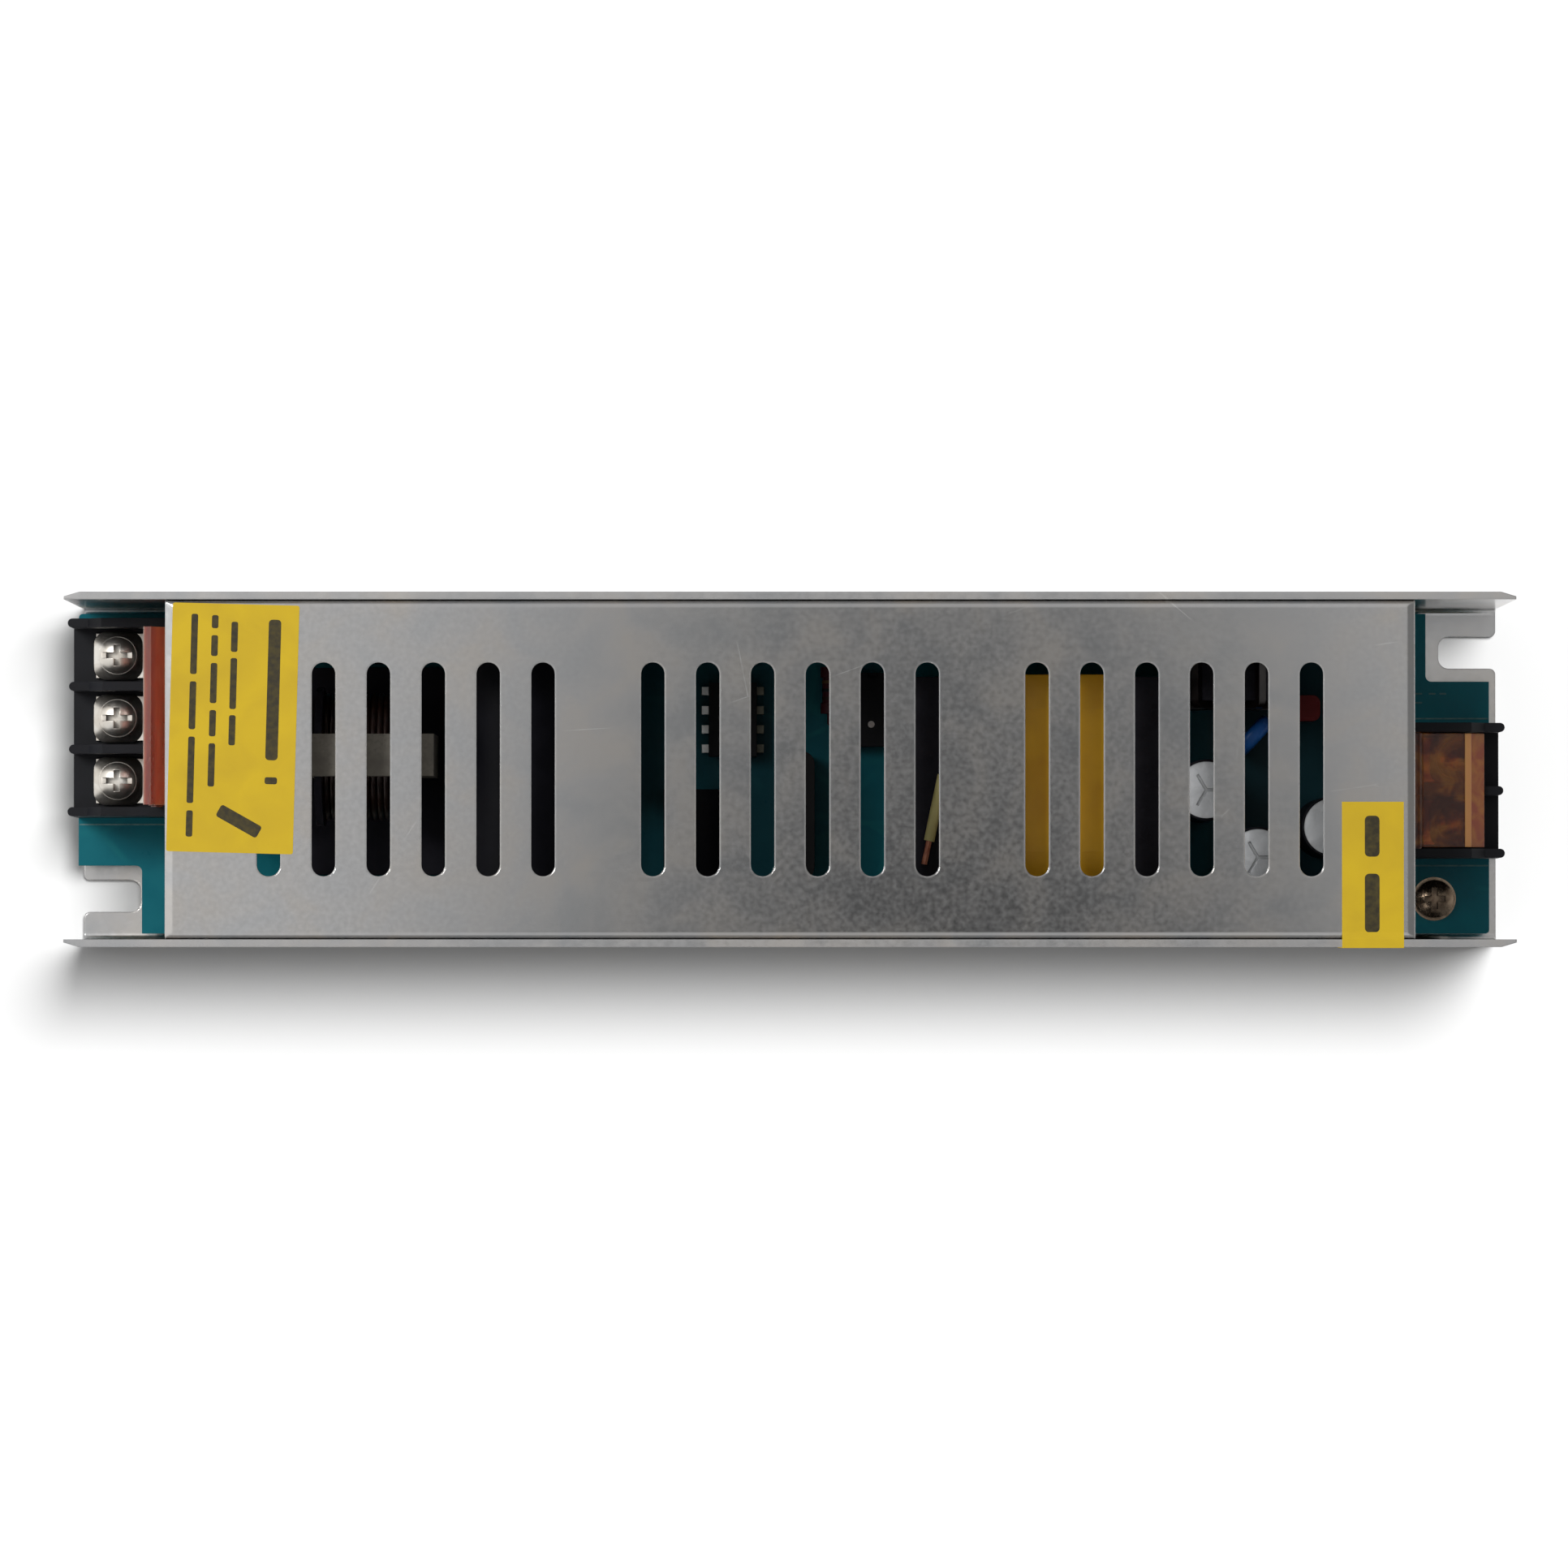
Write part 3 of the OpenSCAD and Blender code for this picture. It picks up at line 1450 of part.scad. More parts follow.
base_channel();
vented_cover();
cover_screws();
large_label();
seal_label();
circuit_board();
board_standoffs();
board_screws();
insulation_sheet();
at_input_block() terminal_body(input_poles);  // input_terminal_body
at_input_block() contacts(input_poles);  // input_contacts
at_input_block() terminal_lid(input_poles, lid_open);  // input_lid
at_input_block() clamp_plate(0, input_poles);  // input_clamp_1
at_input_block() clamp_plate(1, input_poles);  // input_clamp_2
at_input_block() clamp_plate(2, input_poles);  // input_clamp_3
at_input_block() terminal_screw(0, input_poles);  // input_screw_1
at_input_block() terminal_screw(1, input_poles);  // input_screw_2
at_input_block() terminal_screw(2, input_poles);  // input_screw_3
at_output_block() terminal_body(output_poles);  // output_terminal_body
at_output_block() contacts(output_poles);  // output_contacts
at_output_block() terminal_lid(output_poles, 0);  // output_lid
at_output_block() clamp_plate(0, output_poles);  // output_clamp_1
at_output_block() clamp_plate(1, output_poles);  // output_clamp_2
at_output_block() terminal_screw(0, output_poles);  // output_screw_1
at_output_block() terminal_screw(1, output_poles);  // output_screw_2
fuse_tube();
fuse_caps();
line_capacitor();
inrush_limiter();
choke_core();
choke_bobbin();
choke_windings();
bridge_rectifier();
bulk_capacitor();
bulk_sleeve();
control_capacitor();
control_sleeve();
controller_ic();
optocoupler();
film_capacitor();
resistors();
component_leads();
power_transistor();
output_rectifiers();
package_pads();
package_screws();
package_nuts();
transformer_core();
transformer_bobbin();
transformer_winding();
transformer_tape();
lead_sleeve();
lead_wire();
output_choke_core();
output_choke_winding();
output_capacitors();
output_sleeves();
safety_capacitor();
snubber_capacitor();
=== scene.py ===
"""Looks of a slim DC power supply: materials, printed marks, small details, light and camera."""

import math

import bmesh
import bpy
from mathutils import Matrix, Vector

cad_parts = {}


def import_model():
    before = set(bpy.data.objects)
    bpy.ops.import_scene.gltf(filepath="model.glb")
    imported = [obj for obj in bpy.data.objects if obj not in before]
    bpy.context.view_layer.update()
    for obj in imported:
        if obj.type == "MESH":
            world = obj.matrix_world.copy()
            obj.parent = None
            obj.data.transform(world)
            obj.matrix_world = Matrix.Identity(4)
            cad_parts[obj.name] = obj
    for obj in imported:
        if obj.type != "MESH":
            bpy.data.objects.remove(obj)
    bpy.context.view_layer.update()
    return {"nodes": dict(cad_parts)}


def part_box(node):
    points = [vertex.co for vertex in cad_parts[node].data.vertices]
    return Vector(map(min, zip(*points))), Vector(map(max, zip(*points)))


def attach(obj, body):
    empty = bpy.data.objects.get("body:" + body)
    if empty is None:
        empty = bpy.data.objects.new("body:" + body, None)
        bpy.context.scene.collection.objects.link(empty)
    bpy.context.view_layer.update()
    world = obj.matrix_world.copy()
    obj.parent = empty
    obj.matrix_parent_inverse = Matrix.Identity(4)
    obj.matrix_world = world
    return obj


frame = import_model()
MM = 0.001

# The camera looks almost straight down, from a little in front of the case. Places are in metres
CAMERA_AT = Vector((-0.00078, -0.023, 1.208))
CAMERA_AIM = Vector((-0.00078, -0.0019, 0.036))
CAMERA_FOV = 9.89

# Light: a soft lamp on the left behind the case, a sun from the right for the floor alone, and a dome
# whose brightness runs from left to right, with a dark patch almost overhead that the cover mirrors
CASE_LAMP_AT = Vector((-0.62, 0.36, 1.1))
CASE_LAMP_SIZE = 0.4
CASE_LAMP_POWER = 9.0
FLOOR_SUN_FROM = Vector((0.27, 0.245, 1.1))
FLOOR_SUN_ANGLE = 23
FLOOR_SUN_STRENGTH = 7.0
LIGHT_AIM = Vector((0.0, 0.0, 0.0))
DOME = ((0.0, 0.95), (0.42, 0.6), (0.47, 0.71), (0.5, 0.4), (0.535, 0.6), (0.57, 0.76),
        (0.68, 0.25), (0.88, 0.2), (0.95, 0.6), (1.0, 0.7))
PATCH_AT = (0.021, -0.072)
PATCH_SIZE = (0.066, 0.165)
PATCH_FADE = ((0.0, 0.0), (0.5, 1.0))

# Floor: half its width in metres, its tone and how far that varies, and the size of its clouds in millimetres
FLOOR_HALF_W = 3.0
FLOOR_STEPS = 8
FLOOR_TONE = 0.4
FLOOR_VARIES = 0.01
FLOOR_CLOUD = 400


# Places in millimetres that are worked out from the solids


def box_mm(node):
    """Lowest and highest corner of a solid or a set of solids, in millimetres."""
    low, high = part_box(node)
    return low / MM, high / MM


def middles(node, weld=0.001):
    """Middle of the box round each separate solid of a set, in millimetres."""
    bm = bmesh.new()
    bm.from_mesh(frame["nodes"][node].data)
    bmesh.ops.remove_doubles(bm, verts=bm.verts, dist=weld * MM)
    seen = set()
    found = []
    for start in bm.verts:
        if start in seen:
            continue
        seen.add(start)
        solid = [start]
        for vert in solid:  # the list grows while it is walked
            fresh = {edge.other_vert(vert) for edge in vert.link_edges} - seen
            seen |= fresh
            solid.extend(fresh)
        ranges = [(min(values), max(values)) for values in zip(*(vert.co for vert in solid))]
        found.append(Vector([(low + high) / 2 / MM for low, high in ranges]))
    bm.free()
    return found


def along_board(*shares):
    """Places along X, from shares of the board's length."""
    return [BOARD_LOW.x + share * (BOARD_HIGH.x - BOARD_LOW.x) for share in shares]


BOARD_LOW, BOARD_HIGH = box_mm("circuit_board")
BOARD_TOP = BOARD_HIGH.z
BOARD_SCREWS = middles("board_screws")
RESISTORS = middles("resistors")
WALL_TOP = box_mm("base_channel")[1].z
LABEL_LOW, LABEL_HIGH = box_mm("large_label")
LABEL_MIDDLE = (LABEL_LOW + LABEL_HIGH) / 2
LABEL_TOP = LABEL_HIGH.z
SEAL_LOW, SEAL_HIGH = box_mm("seal_label")
SEAL_X = (SEAL_LOW.x + SEAL_HIGH.x) / 2
SEAL_SIDE_Y = SEAL_LOW.y
OPTOCOUPLER_LOW, OPTOCOUPLER_HIGH = box_mm("optocoupler")
CONTROLLER_LOW, CONTROLLER_HIGH = box_mm("controller_ic")
CONTROLLER_X = (CONTROLLER_LOW.x + CONTROLLER_HIGH.x) / 2

# Where painted light and shade change along X: the front of the closed lid, whose painted highlight on the
# rib is its first share, the back of the open lid, the leads of the controller, and two lengths of the board
# in painted shade
LID_FRONT_W = 2.7
LID_TIP_X = box_mm("output_lid")[1].x
LID_FRONT = (LID_TIP_X - LID_FRONT_W, LID_TIP_X)
RIB_SHARE = 0.33
LID_BACK_IN, LID_BACK_W = 0.71, 1.0
LID_BACK_X = box_mm("input_lid")[0].x + LID_BACK_IN
LID_BACK = (LID_BACK_X, LID_BACK_X + LID_BACK_W)
LEAD_SHADE_W = 3.0
LEAD_SHADE_SPAN = (CONTROLLER_X - LEAD_SHADE_W / 2, CONTROLLER_X + LEAD_SHADE_W / 2)
OUTPUT_SHADE = along_board(0.772, 0.953)
CONTROL_SHADE = along_board(0.344, 0.611)

# Print on the labels. A row of dashes has a place across, a width, a start, lengths and a gap
PRINT_T = 0.012
LABEL_TURN = -1.5
LABEL_ROWS = (
    (5.1, 1.6, 14.2, (18.2, 0.9), 2.2),
    (-0.1, 0.85, 13.8, (3.9, 6.6, 3.9), 0.8),
    (-2.65, 0.85, 14.6, (1.7, 2.7, 5.2, 3.4, 5.6), 0.9),
    (-5.3, 0.85, 14.7, (7.8, 6.2, 8.6, 3.4), 0.95),
)
LABEL_BAR_L, LABEL_BAR_W, LABEL_BAR_R = 6.0, 1.7, 0.35
LABEL_BAR_AT = (1.1, -12.0, 0.0)
LABEL_BAR_TURN = -28
SEAL_TOP_ROW = (-0.1, 1.9, -6.0, (5.3, 7.6), 2.2)
SEAL_SIDE_ROW = (-0.1, 1.9, -0.3, (4.4,), 0.0)
DASH_ROUND = 0.3

# Print and tin on the board. A mark has a distance from the output end and a place across the board
SILK_T = 0.02
SILK_LINE = 0.2
SILK_MARGIN = 0.9
SILK_ROUND = 0.45
MARK_L, MARK_W = 0.7, 0.24
MARKS = ((9.3, 10.6), (7.5, 10.6), (6.1, 10.6), (9.3, 9.4), (4.5, -10.8), (5.9, -10.8))
RING_INNER_R, RING_OUTER_R, RING_T = 1.7, 2.9, 0.05

# Marks on the components: a dot, from a corner of the optocoupler, and three bands on each resistor
DOT_D = 0.9
DOT_FROM_CORNER = (2.927, 2.93)
BAND_AXIS_H = 1.75
BAND_W = 0.42
BAND_PITCH = 1.1
BAND_INNER_R, BAND_OUTER_R = 0.9, 1.03

# Steps of the round shapes
CORNER_STEPS = 4
RING_STEPS = 48
BAND_STEPS = 24


# Node materials


def grey(level):
    """Colour of a brightness."""
    return (level, level, level, 1.0)


def srgb(red, green, blue):
    """Linear colour of an 8-bit display colour."""

    def linear(value):
        value /= 255
        return value / 12.92 if value <= 0.04045 else ((value + 0.055) / 1.055) ** 2.4

    return (linear(red), linear(green), linear(blue), 1.0)


class Nodes:
    """A node tree that is put together step by step."""

    def __init__(self, tree):
        self.tree = tree

    def node(self, kind, inputs, **settings):
        """Adds a node, with its settings and with what its inputs are fed."""
        made = self.tree.nodes.new(kind)
        for key, value in settings.items():
            setattr(made, key, value)
        for key, value in inputs.items():
            self.feed(made.inputs[key], value)
        return made

    def feed(self, socket, value):
        """Links a socket to another node's output, or sets its plain value."""
        if isinstance(value, bpy.types.NodeSocket):
            self.tree.links.new(value, socket)
        else:
            socket.default_value = value

    def coordinates(self, kind):
        """Texture coordinates of one kind."""
        return self.node("ShaderNodeTexCoord", {}).outputs[kind]

    def part(self, vector, axis):
        """Component of a vector along one axis."""
        return self.node("ShaderNodeSeparateXYZ", {"Vector": vector}).outputs[axis]

    def ramp(self, amount, *stops):
        """Colour that runs through (position, colour) stops."""
        made = self.node("ShaderNodeValToRGB", {"Fac": amount})
        elements = made.color_ramp.elements
        while len(elements) < len(stops):
            elements.new(1.0)
        for element, (position, colour) in zip(elements, stops):
            element.position = position
            element.color = colour
        return made.outputs["Color"]

    def shade(self, amount, *stops):
        """Brightness that runs through (position, level) stops."""
        return self.ramp(amount, *((position, grey(level)) for position, level in stops))

    def span(self, amount, low, high, start=0.3, end=0.7):
        """Stretches the middle of a pattern to the range from low to high."""
        inputs = {"Value": amount, "From Min": start, "From Max": end, "To Min": low, "To Max": high}
        return self.node("ShaderNodeMapRange", inputs).outputs["Result"]

    def mix(self, amount, first, second):
        """First colour where the amount is zero, second where it is one."""
        inputs = {0: amount, 6: first, 7: second}
        return self.node("ShaderNodeMix", inputs, data_type="RGBA").outputs[2]

    def combine(self, operation, first, second):
        """Two values put together by a math operation."""
        return self.node("ShaderNodeMath", {0: first, 1: second}, operation=operation).outputs[0]


class Look(Nodes):
    """A node material. Sizes are in millimetres."""

    def __init__(self, name, **sockets):
        self.material = bpy.data.materials.new(name)
        self.material.use_nodes = True
        super().__init__(self.material.node_tree)
        self.shader = self.tree.nodes["Principled BSDF"]
        self.place = self.coordinates("Object")
        self.set(**sockets)

    def set(self, **sockets):
        """Feeds the shader's sockets, named in lower case with underscores."""
        for name, value in sockets.items():
            self.feed(self.shader.inputs[name.replace("_", " ").title().replace("Ior", "IOR")], value)
        return self

    def scaled(self, size, stretch):
        """Object coordinates in units of a size, with their own factor along each axis."""
        factors = [factor / (size * MM) for factor in stretch]
        return self.node("ShaderNodeMapping", {"Vector": self.place, "Scale": factors}).outputs["Vector"]

    def noise(self, size, detail=3.0, stretch=(1, 1, 1), distortion=0.0):
        """Soft clouds of a size."""
        place = self.scaled(size, stretch)
        inputs = {"Vector": place, "Scale": 1.0, "Detail": detail, "Distortion": distortion}
        return self.node("ShaderNodeTexNoise", inputs).outputs[0]

    def cells(self, size, stretch):
        """Distance from the borders of irregular cells."""
        inputs = {"Vector": self.scaled(size, stretch), "Scale": 1.0}
        return self.node("ShaderNodeTexVoronoi", inputs, feature="DISTANCE_TO_EDGE").outputs["Distance"]

    def edge(self, radius):
        """Normal that rounds the sharp edges of the solids."""
        return self.node("ShaderNodeBevel", {"Radius": radius * MM}, samples=3).outputs["Normal"]

    def open(self, reach):
        """One on open faces, less in corners and recesses."""
        return self.node("ShaderNodeAmbientOcclusion", {"Distance": reach * MM}, samples=4).outputs["AO"]

    def bump(self, height, depth, normal=None, strength=0.5):
        """Normal with a fine relief, on top of another normal where one is given."""
        inputs = {"Height": height, "Distance": depth * MM, "Strength": strength}
        if normal is not None:
            inputs["Normal"] = normal
        return self.node("ShaderNodeBump", inputs).outputs["Normal"]

    def facing(self, axis):
        """Component of the surface normal along one axis."""
        return self.part(self.node("ShaderNodeNewGeometry", {}).outputs["True Normal"], axis)

    def along(self, axis, start, end):
        """Runs from zero to one between two places along an axis of the piece."""
        return self.span(self.part(self.place, axis), 0.0, 1.0, start * MM, end * MM)


def aluminium(name, rough):
    """Satin rolled sheet: soft stains, fine mottling and a few hairline scratches."""
    look = Look(name, metallic=1.0)
    clouds = look.noise(9, 4, distortion=0.6)
    mottle = look.noise(0.7, 3)
    rolled = look.noise(0.4, 2, (0.06, 1, 1))
    hairline = look.span(look.cells(26, (0.55, 1, 1)), 1.0, 0.0, 0.0, 0.003)
    scratched = look.combine("MULTIPLY", hairline, look.span(look.noise(9), 0.0, 0.8, 0.55, 0.7))
    dark, middle, warm = srgb(199, 200, 201), srgb(205, 204, 203), srgb(209, 205, 200)
    colour = look.ramp(clouds, (0.32, dark), (0.5, middle), (0.7, warm))
    colour = look.mix(look.span(mottle, 0.0, 0.12), colour, srgb(160, 159, 158))
    colour = look.mix(scratched, colour, srgb(236, 236, 234))
    uneven = look.combine("ADD", look.combine("MULTIPLY", mottle, 0.6), look.combine("MULTIPLY", clouds, 0.4))
    relief = look.combine("ADD", rolled, mottle)
    return look.set(
        base_color=colour,
        roughness=look.span(uneven, *rough, 0.38, 0.62),
        normal=look.bump(relief, 0.003, look.edge(0.3), 0.12),
    )


def plating(name, bright, darker_tone, rough, recess_shade=0.8):
    """Plated metal with slight tarnish and handling marks, with painted shade in its recesses."""
    look = Look(name, metallic=1.0)
    tarnish = look.noise(2.2, 4, distortion=0.8)
    marks = look.noise(0.3, 3)
    colour = look.ramp(tarnish, (0.35, bright), (0.7, darker_tone))
    # Painted shade: the colour goes towards near black in recesses and gaps, by ambient occlusion
    return look.set(
        base_color=look.mix(look.span(look.open(0.8), recess_shade, 0.0, 0.45, 0.85), colour, srgb(30, 26, 24)),
        roughness=look.span(marks, *rough),
        normal=look.bump(marks, 0.004, look.edge(0.1), 0.08),
    )


def tinned_leads():
    """Tinned leads, with painted light on the outer side of the controller and painted shade beyond it."""
    look = Look("tinned_lead", metallic=1.0)
    tarnish = look.noise(2.2, 4, distortion=0.8)
    bright = look.ramp(tarnish, (0.35, srgb(240, 240, 238)), (0.7, srgb(216, 216, 212)))
    # Painted shade: darker tin for the leads beyond the controller's middle; the lighter tin before it is
    # painted light
    darker_tone = look.ramp(tarnish, (0.35, srgb(122, 120, 108)), (0.7, srgb(92, 90, 80)))
    return look.set(
        base_color=look.mix(look.along("X", *LEAD_SHADE_SPAN), bright, darker_tone),
        roughness=look.span(look.noise(0.3, 3), 0.3, 0.45),
        normal=look.edge(0.1),
    )


def moulding(name, colour, worn, rough=(0.38, 0.55), grain=0.25, shine=0.15):
    """Moulded or dipped plastic with a fine grain, paler along its wear."""
    look = Look(name, specular_ior_level=shine)
    wear = look.noise(4.5, 5, distortion=0.4)
    fine = look.noise(grain, 2)
    return look.set(
        base_color=look.ramp(wear, (0.4, colour), (0.78, worn)),
        roughness=look.span(wear, *rough),
        normal=look.bump(fine, 0.02, look.edge(0.15), 0.35),
    )


def sticker(name, colour, soiled):
    """Printed paper label with soft dirt and fibre."""
    look = Look(name, specular_ior_level=0.15)
    dirt = look.noise(7, 5, distortion=0.5)
    fibre = look.noise(0.4, 4)
    return look.set(
        base_color=look.ramp(dirt, (0.38, colour), (0.75, soiled)),
        roughness=look.span(fibre, 0.4, 0.58),
        normal=look.bump(fibre, 0.015, None, 0.4),
    )


def solder_mask():
    """Teal lacquer over copper traces, painted shade by the control and output parts, bare fibre edges."""
    look = Look("solder_mask", specular_ior_level=0.12)
    tone = look.noise(6, 4)
    trace = look.span(look.cells(7, (0.7, 1, 1)), 1.0, 0.0, 0.02, 0.06)
    shown = look.combine("MULTIPLY", trace, look.span(look.noise(11), 0.0, 0.6, 0.45, 0.6))
    lacquer = look.ramp(tone, (0.3, srgb(4, 92, 105)), (0.7, srgb(8, 102, 113)))
    lacquer = look.mix(shown, lacquer, srgb(20, 112, 118))
    # Painted shade: two lengths of the board go towards near-black colours
    by_output = look.along("X", *OUTPUT_SHADE)
    by_output = look.shade(by_output, (0.05, 0.0), (0.25, 0.75), (0.7, 0.75), (0.85, 0.0))
    lacquer = look.mix(by_output, lacquer, srgb(20, 19, 25))
    by_control = look.along("X", *CONTROL_SHADE)
    by_control = look.shade(by_control, (0.05, 0.0), (0.2, 0.5), (0.55, 0.5), (0.62, 0.3), (0.95, 0.0))
    lacquer = look.mix(by_control, lacquer, srgb(24, 34, 42))
    sides = look.combine("LESS_THAN", look.combine("ABSOLUTE", look.facing("Z"), 0.0), 0.5)
    fibre = look.ramp(look.noise(0.5, 2), (0.3, srgb(120, 128, 78)), (0.7, srgb(152, 152, 100)))
    return look.set(
        base_color=look.mix(sides, lacquer, fibre),
        roughness=look.span(tone, 0.26, 0.4),
        normal=look.bump(shown, 0.02, look.edge(0.1), 0.3),
    )


def clear_amber():
    """Clear amber of the closed lid: flow streaks, a painted highlight on its rib and painted light on its
    less clear sloped front.
    """
    look = Look("amber_lid", ior=1.5, specular_ior_level=0.18)
    streak = look.noise(3.2, 4, distortion=0.8)
    rub = look.noise(0.6, 3)
    front = look.along("X", *LID_FRONT)
    flat = look.ramp(streak, (0.4, srgb(232, 150, 44)), (0.5, srgb(190, 104, 30)), (0.62, srgb(128, 54, 16)))
    slope = look.ramp(streak, (0.4, srgb(164, 96, 22)), (0.62, srgb(142, 60, 18)))
    # Painted highlight: a pale colour on the rib. Painted light: the sloped front is less clear, so it shows
    # lighter
    rib_highlight = look.ramp(front, (0.0, srgb(226, 166, 104)), (0.3, srgb(216, 152, 96)))
    raised = look.mix(look.combine("GREATER_THAN", front, RIB_SHARE), rib_highlight, slope)
    return look.set(
        base_color=look.mix(look.combine("GREATER_THAN", front, 0.0), flat, raised),
        transmission_weight=look.span(front, 0.8, 0.2, 0.0, 0.01),
        roughness=look.span(rub, 0.04, 0.12),
        normal=look.bump(streak, 0.02, look.edge(0.15), 0.2),
    )


def ruby_amber():
    """Amber plastic of the open lid, seen edge on, with light that bleeds through it and painted light from
    its back on.
    """
    look = Look("ruby_amber_lid", transmission_weight=0.28, subsurface_weight=0.7,
                subsurface_radius=(1.0, 0.35, 0.25), subsurface_scale=0.003)
    streak = look.noise(2.6, 3, (1, 0.25, 1), 0.8)
    # Painted light: the brighter colour from the back of the lid on; the darker colour is the lid's own
    darker_tone = look.ramp(streak, (0.35, srgb(156, 112, 104)), (0.7, srgb(138, 96, 92)))
    bright = look.ramp(streak, (0.35, srgb(224, 136, 98)), (0.7, srgb(200, 114, 84)))
    return look.set(
        base_color=look.mix(look.along("X", *LID_BACK), darker_tone, bright),
        roughness=look.span(streak, 0.18, 0.3),
        normal=look.bump(streak, 0.01, look.edge(0.15), 0.1),
    )


def enamelled(name, colour, dark):
    """Enamelled copper wire."""
    look = Look(name, metallic=0.55, coat_weight=0.5, coat_roughness=0.2)
    tone = look.noise(1.4, 4)
    return look.set(
        base_color=look.ramp(tone, (0.35, colour), (0.7, dark)),
        roughness=look.span(tone, 0.28, 0.45),
        normal=look.bump(look.noise(0.3, 2), 0.02, None, 0.3),
    )


def fired(name, colour, speck, rough=(0.6, 0.8), shine=0.25):
    """Sintered ferrite or ceramic: matt, speckled and slightly chipped at its edges."""
    look = Look(name, specular_ior_level=shine)
    grain = look.noise(0.45, 4)
    tone = look.ramp(look.noise(3.5, 3), (0.3, colour), (0.75, speck))
    return look.set(
        base_color=look.mix(look.span(grain, 0.0, 1.0, 0.5, 0.75), tone, speck),
        roughness=look.span(grain, *rough),
        normal=look.bump(grain, 0.05, look.edge(0.2), 0.5),
    )


def taped():
    """Polyester tape with the faint edges of its layers and small wrinkles."""
    look = Look("polyester_tape", specular_ior_level=0.3)
    wrinkle = look.noise(3, 4, (1, 0.3, 1), 0.6)
    tone = look.noise(6, 3)
    return look.set(
        base_color=look.ramp(tone, (0.3, srgb(234, 177, 28)), (0.7, srgb(216, 158, 22))),
        roughness=look.span(wrinkle, 0.3, 0.45),
        normal=look.bump(wrinkle, 0.08, look.edge(0.3), 0.4),
    )


def ink(name, colour, faded):
    """Printing ink with uneven cover."""
    look = Look(name, specular_ior_level=0.3)
    cover = look.noise(0.7, 5)
    return look.set(
        base_color=look.ramp(cover, (0.35, colour), (0.8, faded)),
        roughness=look.span(cover, 0.5, 0.65),
        normal=look.bump(cover, 0.01, None, 0.3),
    )


CHANNEL = aluminium("channel_aluminium", (0.18, 0.25))
COVER = aluminium("cover_aluminium", (0.1, 0.14))
NICKEL = plating("bright_nickel", srgb(236, 232, 224), srgb(212, 204, 192), (0.29, 0.36))
STEEL = plating("zinc_steel", srgb(206, 206, 202), srgb(166, 160, 146), (0.2, 0.38))
TIN = tinned_leads()
SOLDER = plating("tarnished_solder", srgb(172, 152, 130), srgb(86, 68, 54), (0.15, 0.3))
# The capacitor can gets less painted shade in its recesses than the other plating
CAN = plating("capacitor_can", srgb(232, 234, 236), srgb(206, 208, 210), (0.35, 0.5), 0.4)
YELLOW = sticker("yellow_label", srgb(206, 174, 38), srgb(194, 162, 40))
MASK = solder_mask()
BLOCK = moulding("block_plastic", srgb(14, 15, 19), srgb(23, 24, 29))
AMBER = clear_amber()
RUBY = ruby_amber()
INSULATION = moulding("insulation_sheet", srgb(22, 22, 24), srgb(34, 34, 36), (0.5, 0.7))
COPPER = enamelled("enamelled_copper", srgb(48, 28, 22), srgb(32, 20, 17))
# A darker copy of the enamelled copper, for the output choke's winding
DARK_COPPER = enamelled("darker_copper", srgb(30, 20, 17), srgb(20, 14, 13))
BARE_COPPER = enamelled("bare_copper", srgb(186, 118, 88), srgb(150, 88, 62))
WINDING = enamelled("transformer_wire", srgb(188, 128, 66), srgb(150, 96, 46))
CHOKE_CORE = fired("choke_ferrite", srgb(128, 123, 113), srgb(108, 103, 95))
FERRITE = fired("black_ferrite", srgb(23, 22, 28), srgb(34, 33, 39), shine=0.12)
CERAMIC = fired("fuse_ceramic", srgb(226, 222, 212), srgb(202, 196, 182), (0.45, 0.6))
BOBBIN = moulding("bobbin_plastic", srgb(34, 33, 42), srgb(44, 43, 52), (0.5, 0.65))
EPOXY = moulding("moulded_epoxy", srgb(18, 18, 21), srgb(29, 28, 31), (0.5, 0.68), 0.18)
SLEEVE = moulding("shrink_sleeve", srgb(17, 17, 22), srgb(24, 24, 30), (0.42, 0.55), 0.6, 0.1)
DIP = moulding("dark_dip", srgb(17, 16, 18), srgb(26, 24, 24), (0.42, 0.55), 0.8)
GREEN_DIP = moulding("green_dip", srgb(22, 34, 29), srgb(32, 46, 39), (0.36, 0.5), 0.8)
LINE_CAP = moulding("yellow_case", srgb(214, 182, 62), srgb(196, 160, 50), (0.32, 0.48), shine=0.3)
BODY_BROWN = moulding("resistor_body", srgb(74, 32, 38), srgb(60, 26, 31), (0.3, 0.45), 0.8)
PAD = moulding("silicone_pad", srgb(176, 150, 150), srgb(156, 132, 134), (0.6, 0.8), 0.4)
TAPE = taped()
OLIVE = moulding("fabric_sleeve", srgb(186, 176, 118), srgb(160, 148, 92), (0.45, 0.6), 0.3)
BLUE_DIP = moulding("blue_dip", srgb(24, 78, 148), srgb(34, 94, 166), (0.25, 0.38), 0.8, 0.3)
RED_DIP = moulding("red_dip", srgb(100, 26, 26), srgb(84, 21, 21), (0.3, 0.42), 0.8)
PRINT = ink("black_ink", srgb(46, 40, 22), srgb(78, 68, 32))
SILK = ink("white_ink", srgb(88, 122, 122), srgb(48, 94, 98))
DOT = ink("grey_ink", srgb(196, 190, 184), srgb(160, 152, 146))
BANDS = (
    ink("band_brown", srgb(52, 26, 18), srgb(64, 34, 24)),
    ink("band_black", srgb(18, 16, 16), srgb(30, 27, 26)),
    ink("band_gold", srgb(96, 70, 40), srgb(82, 60, 34)),
)

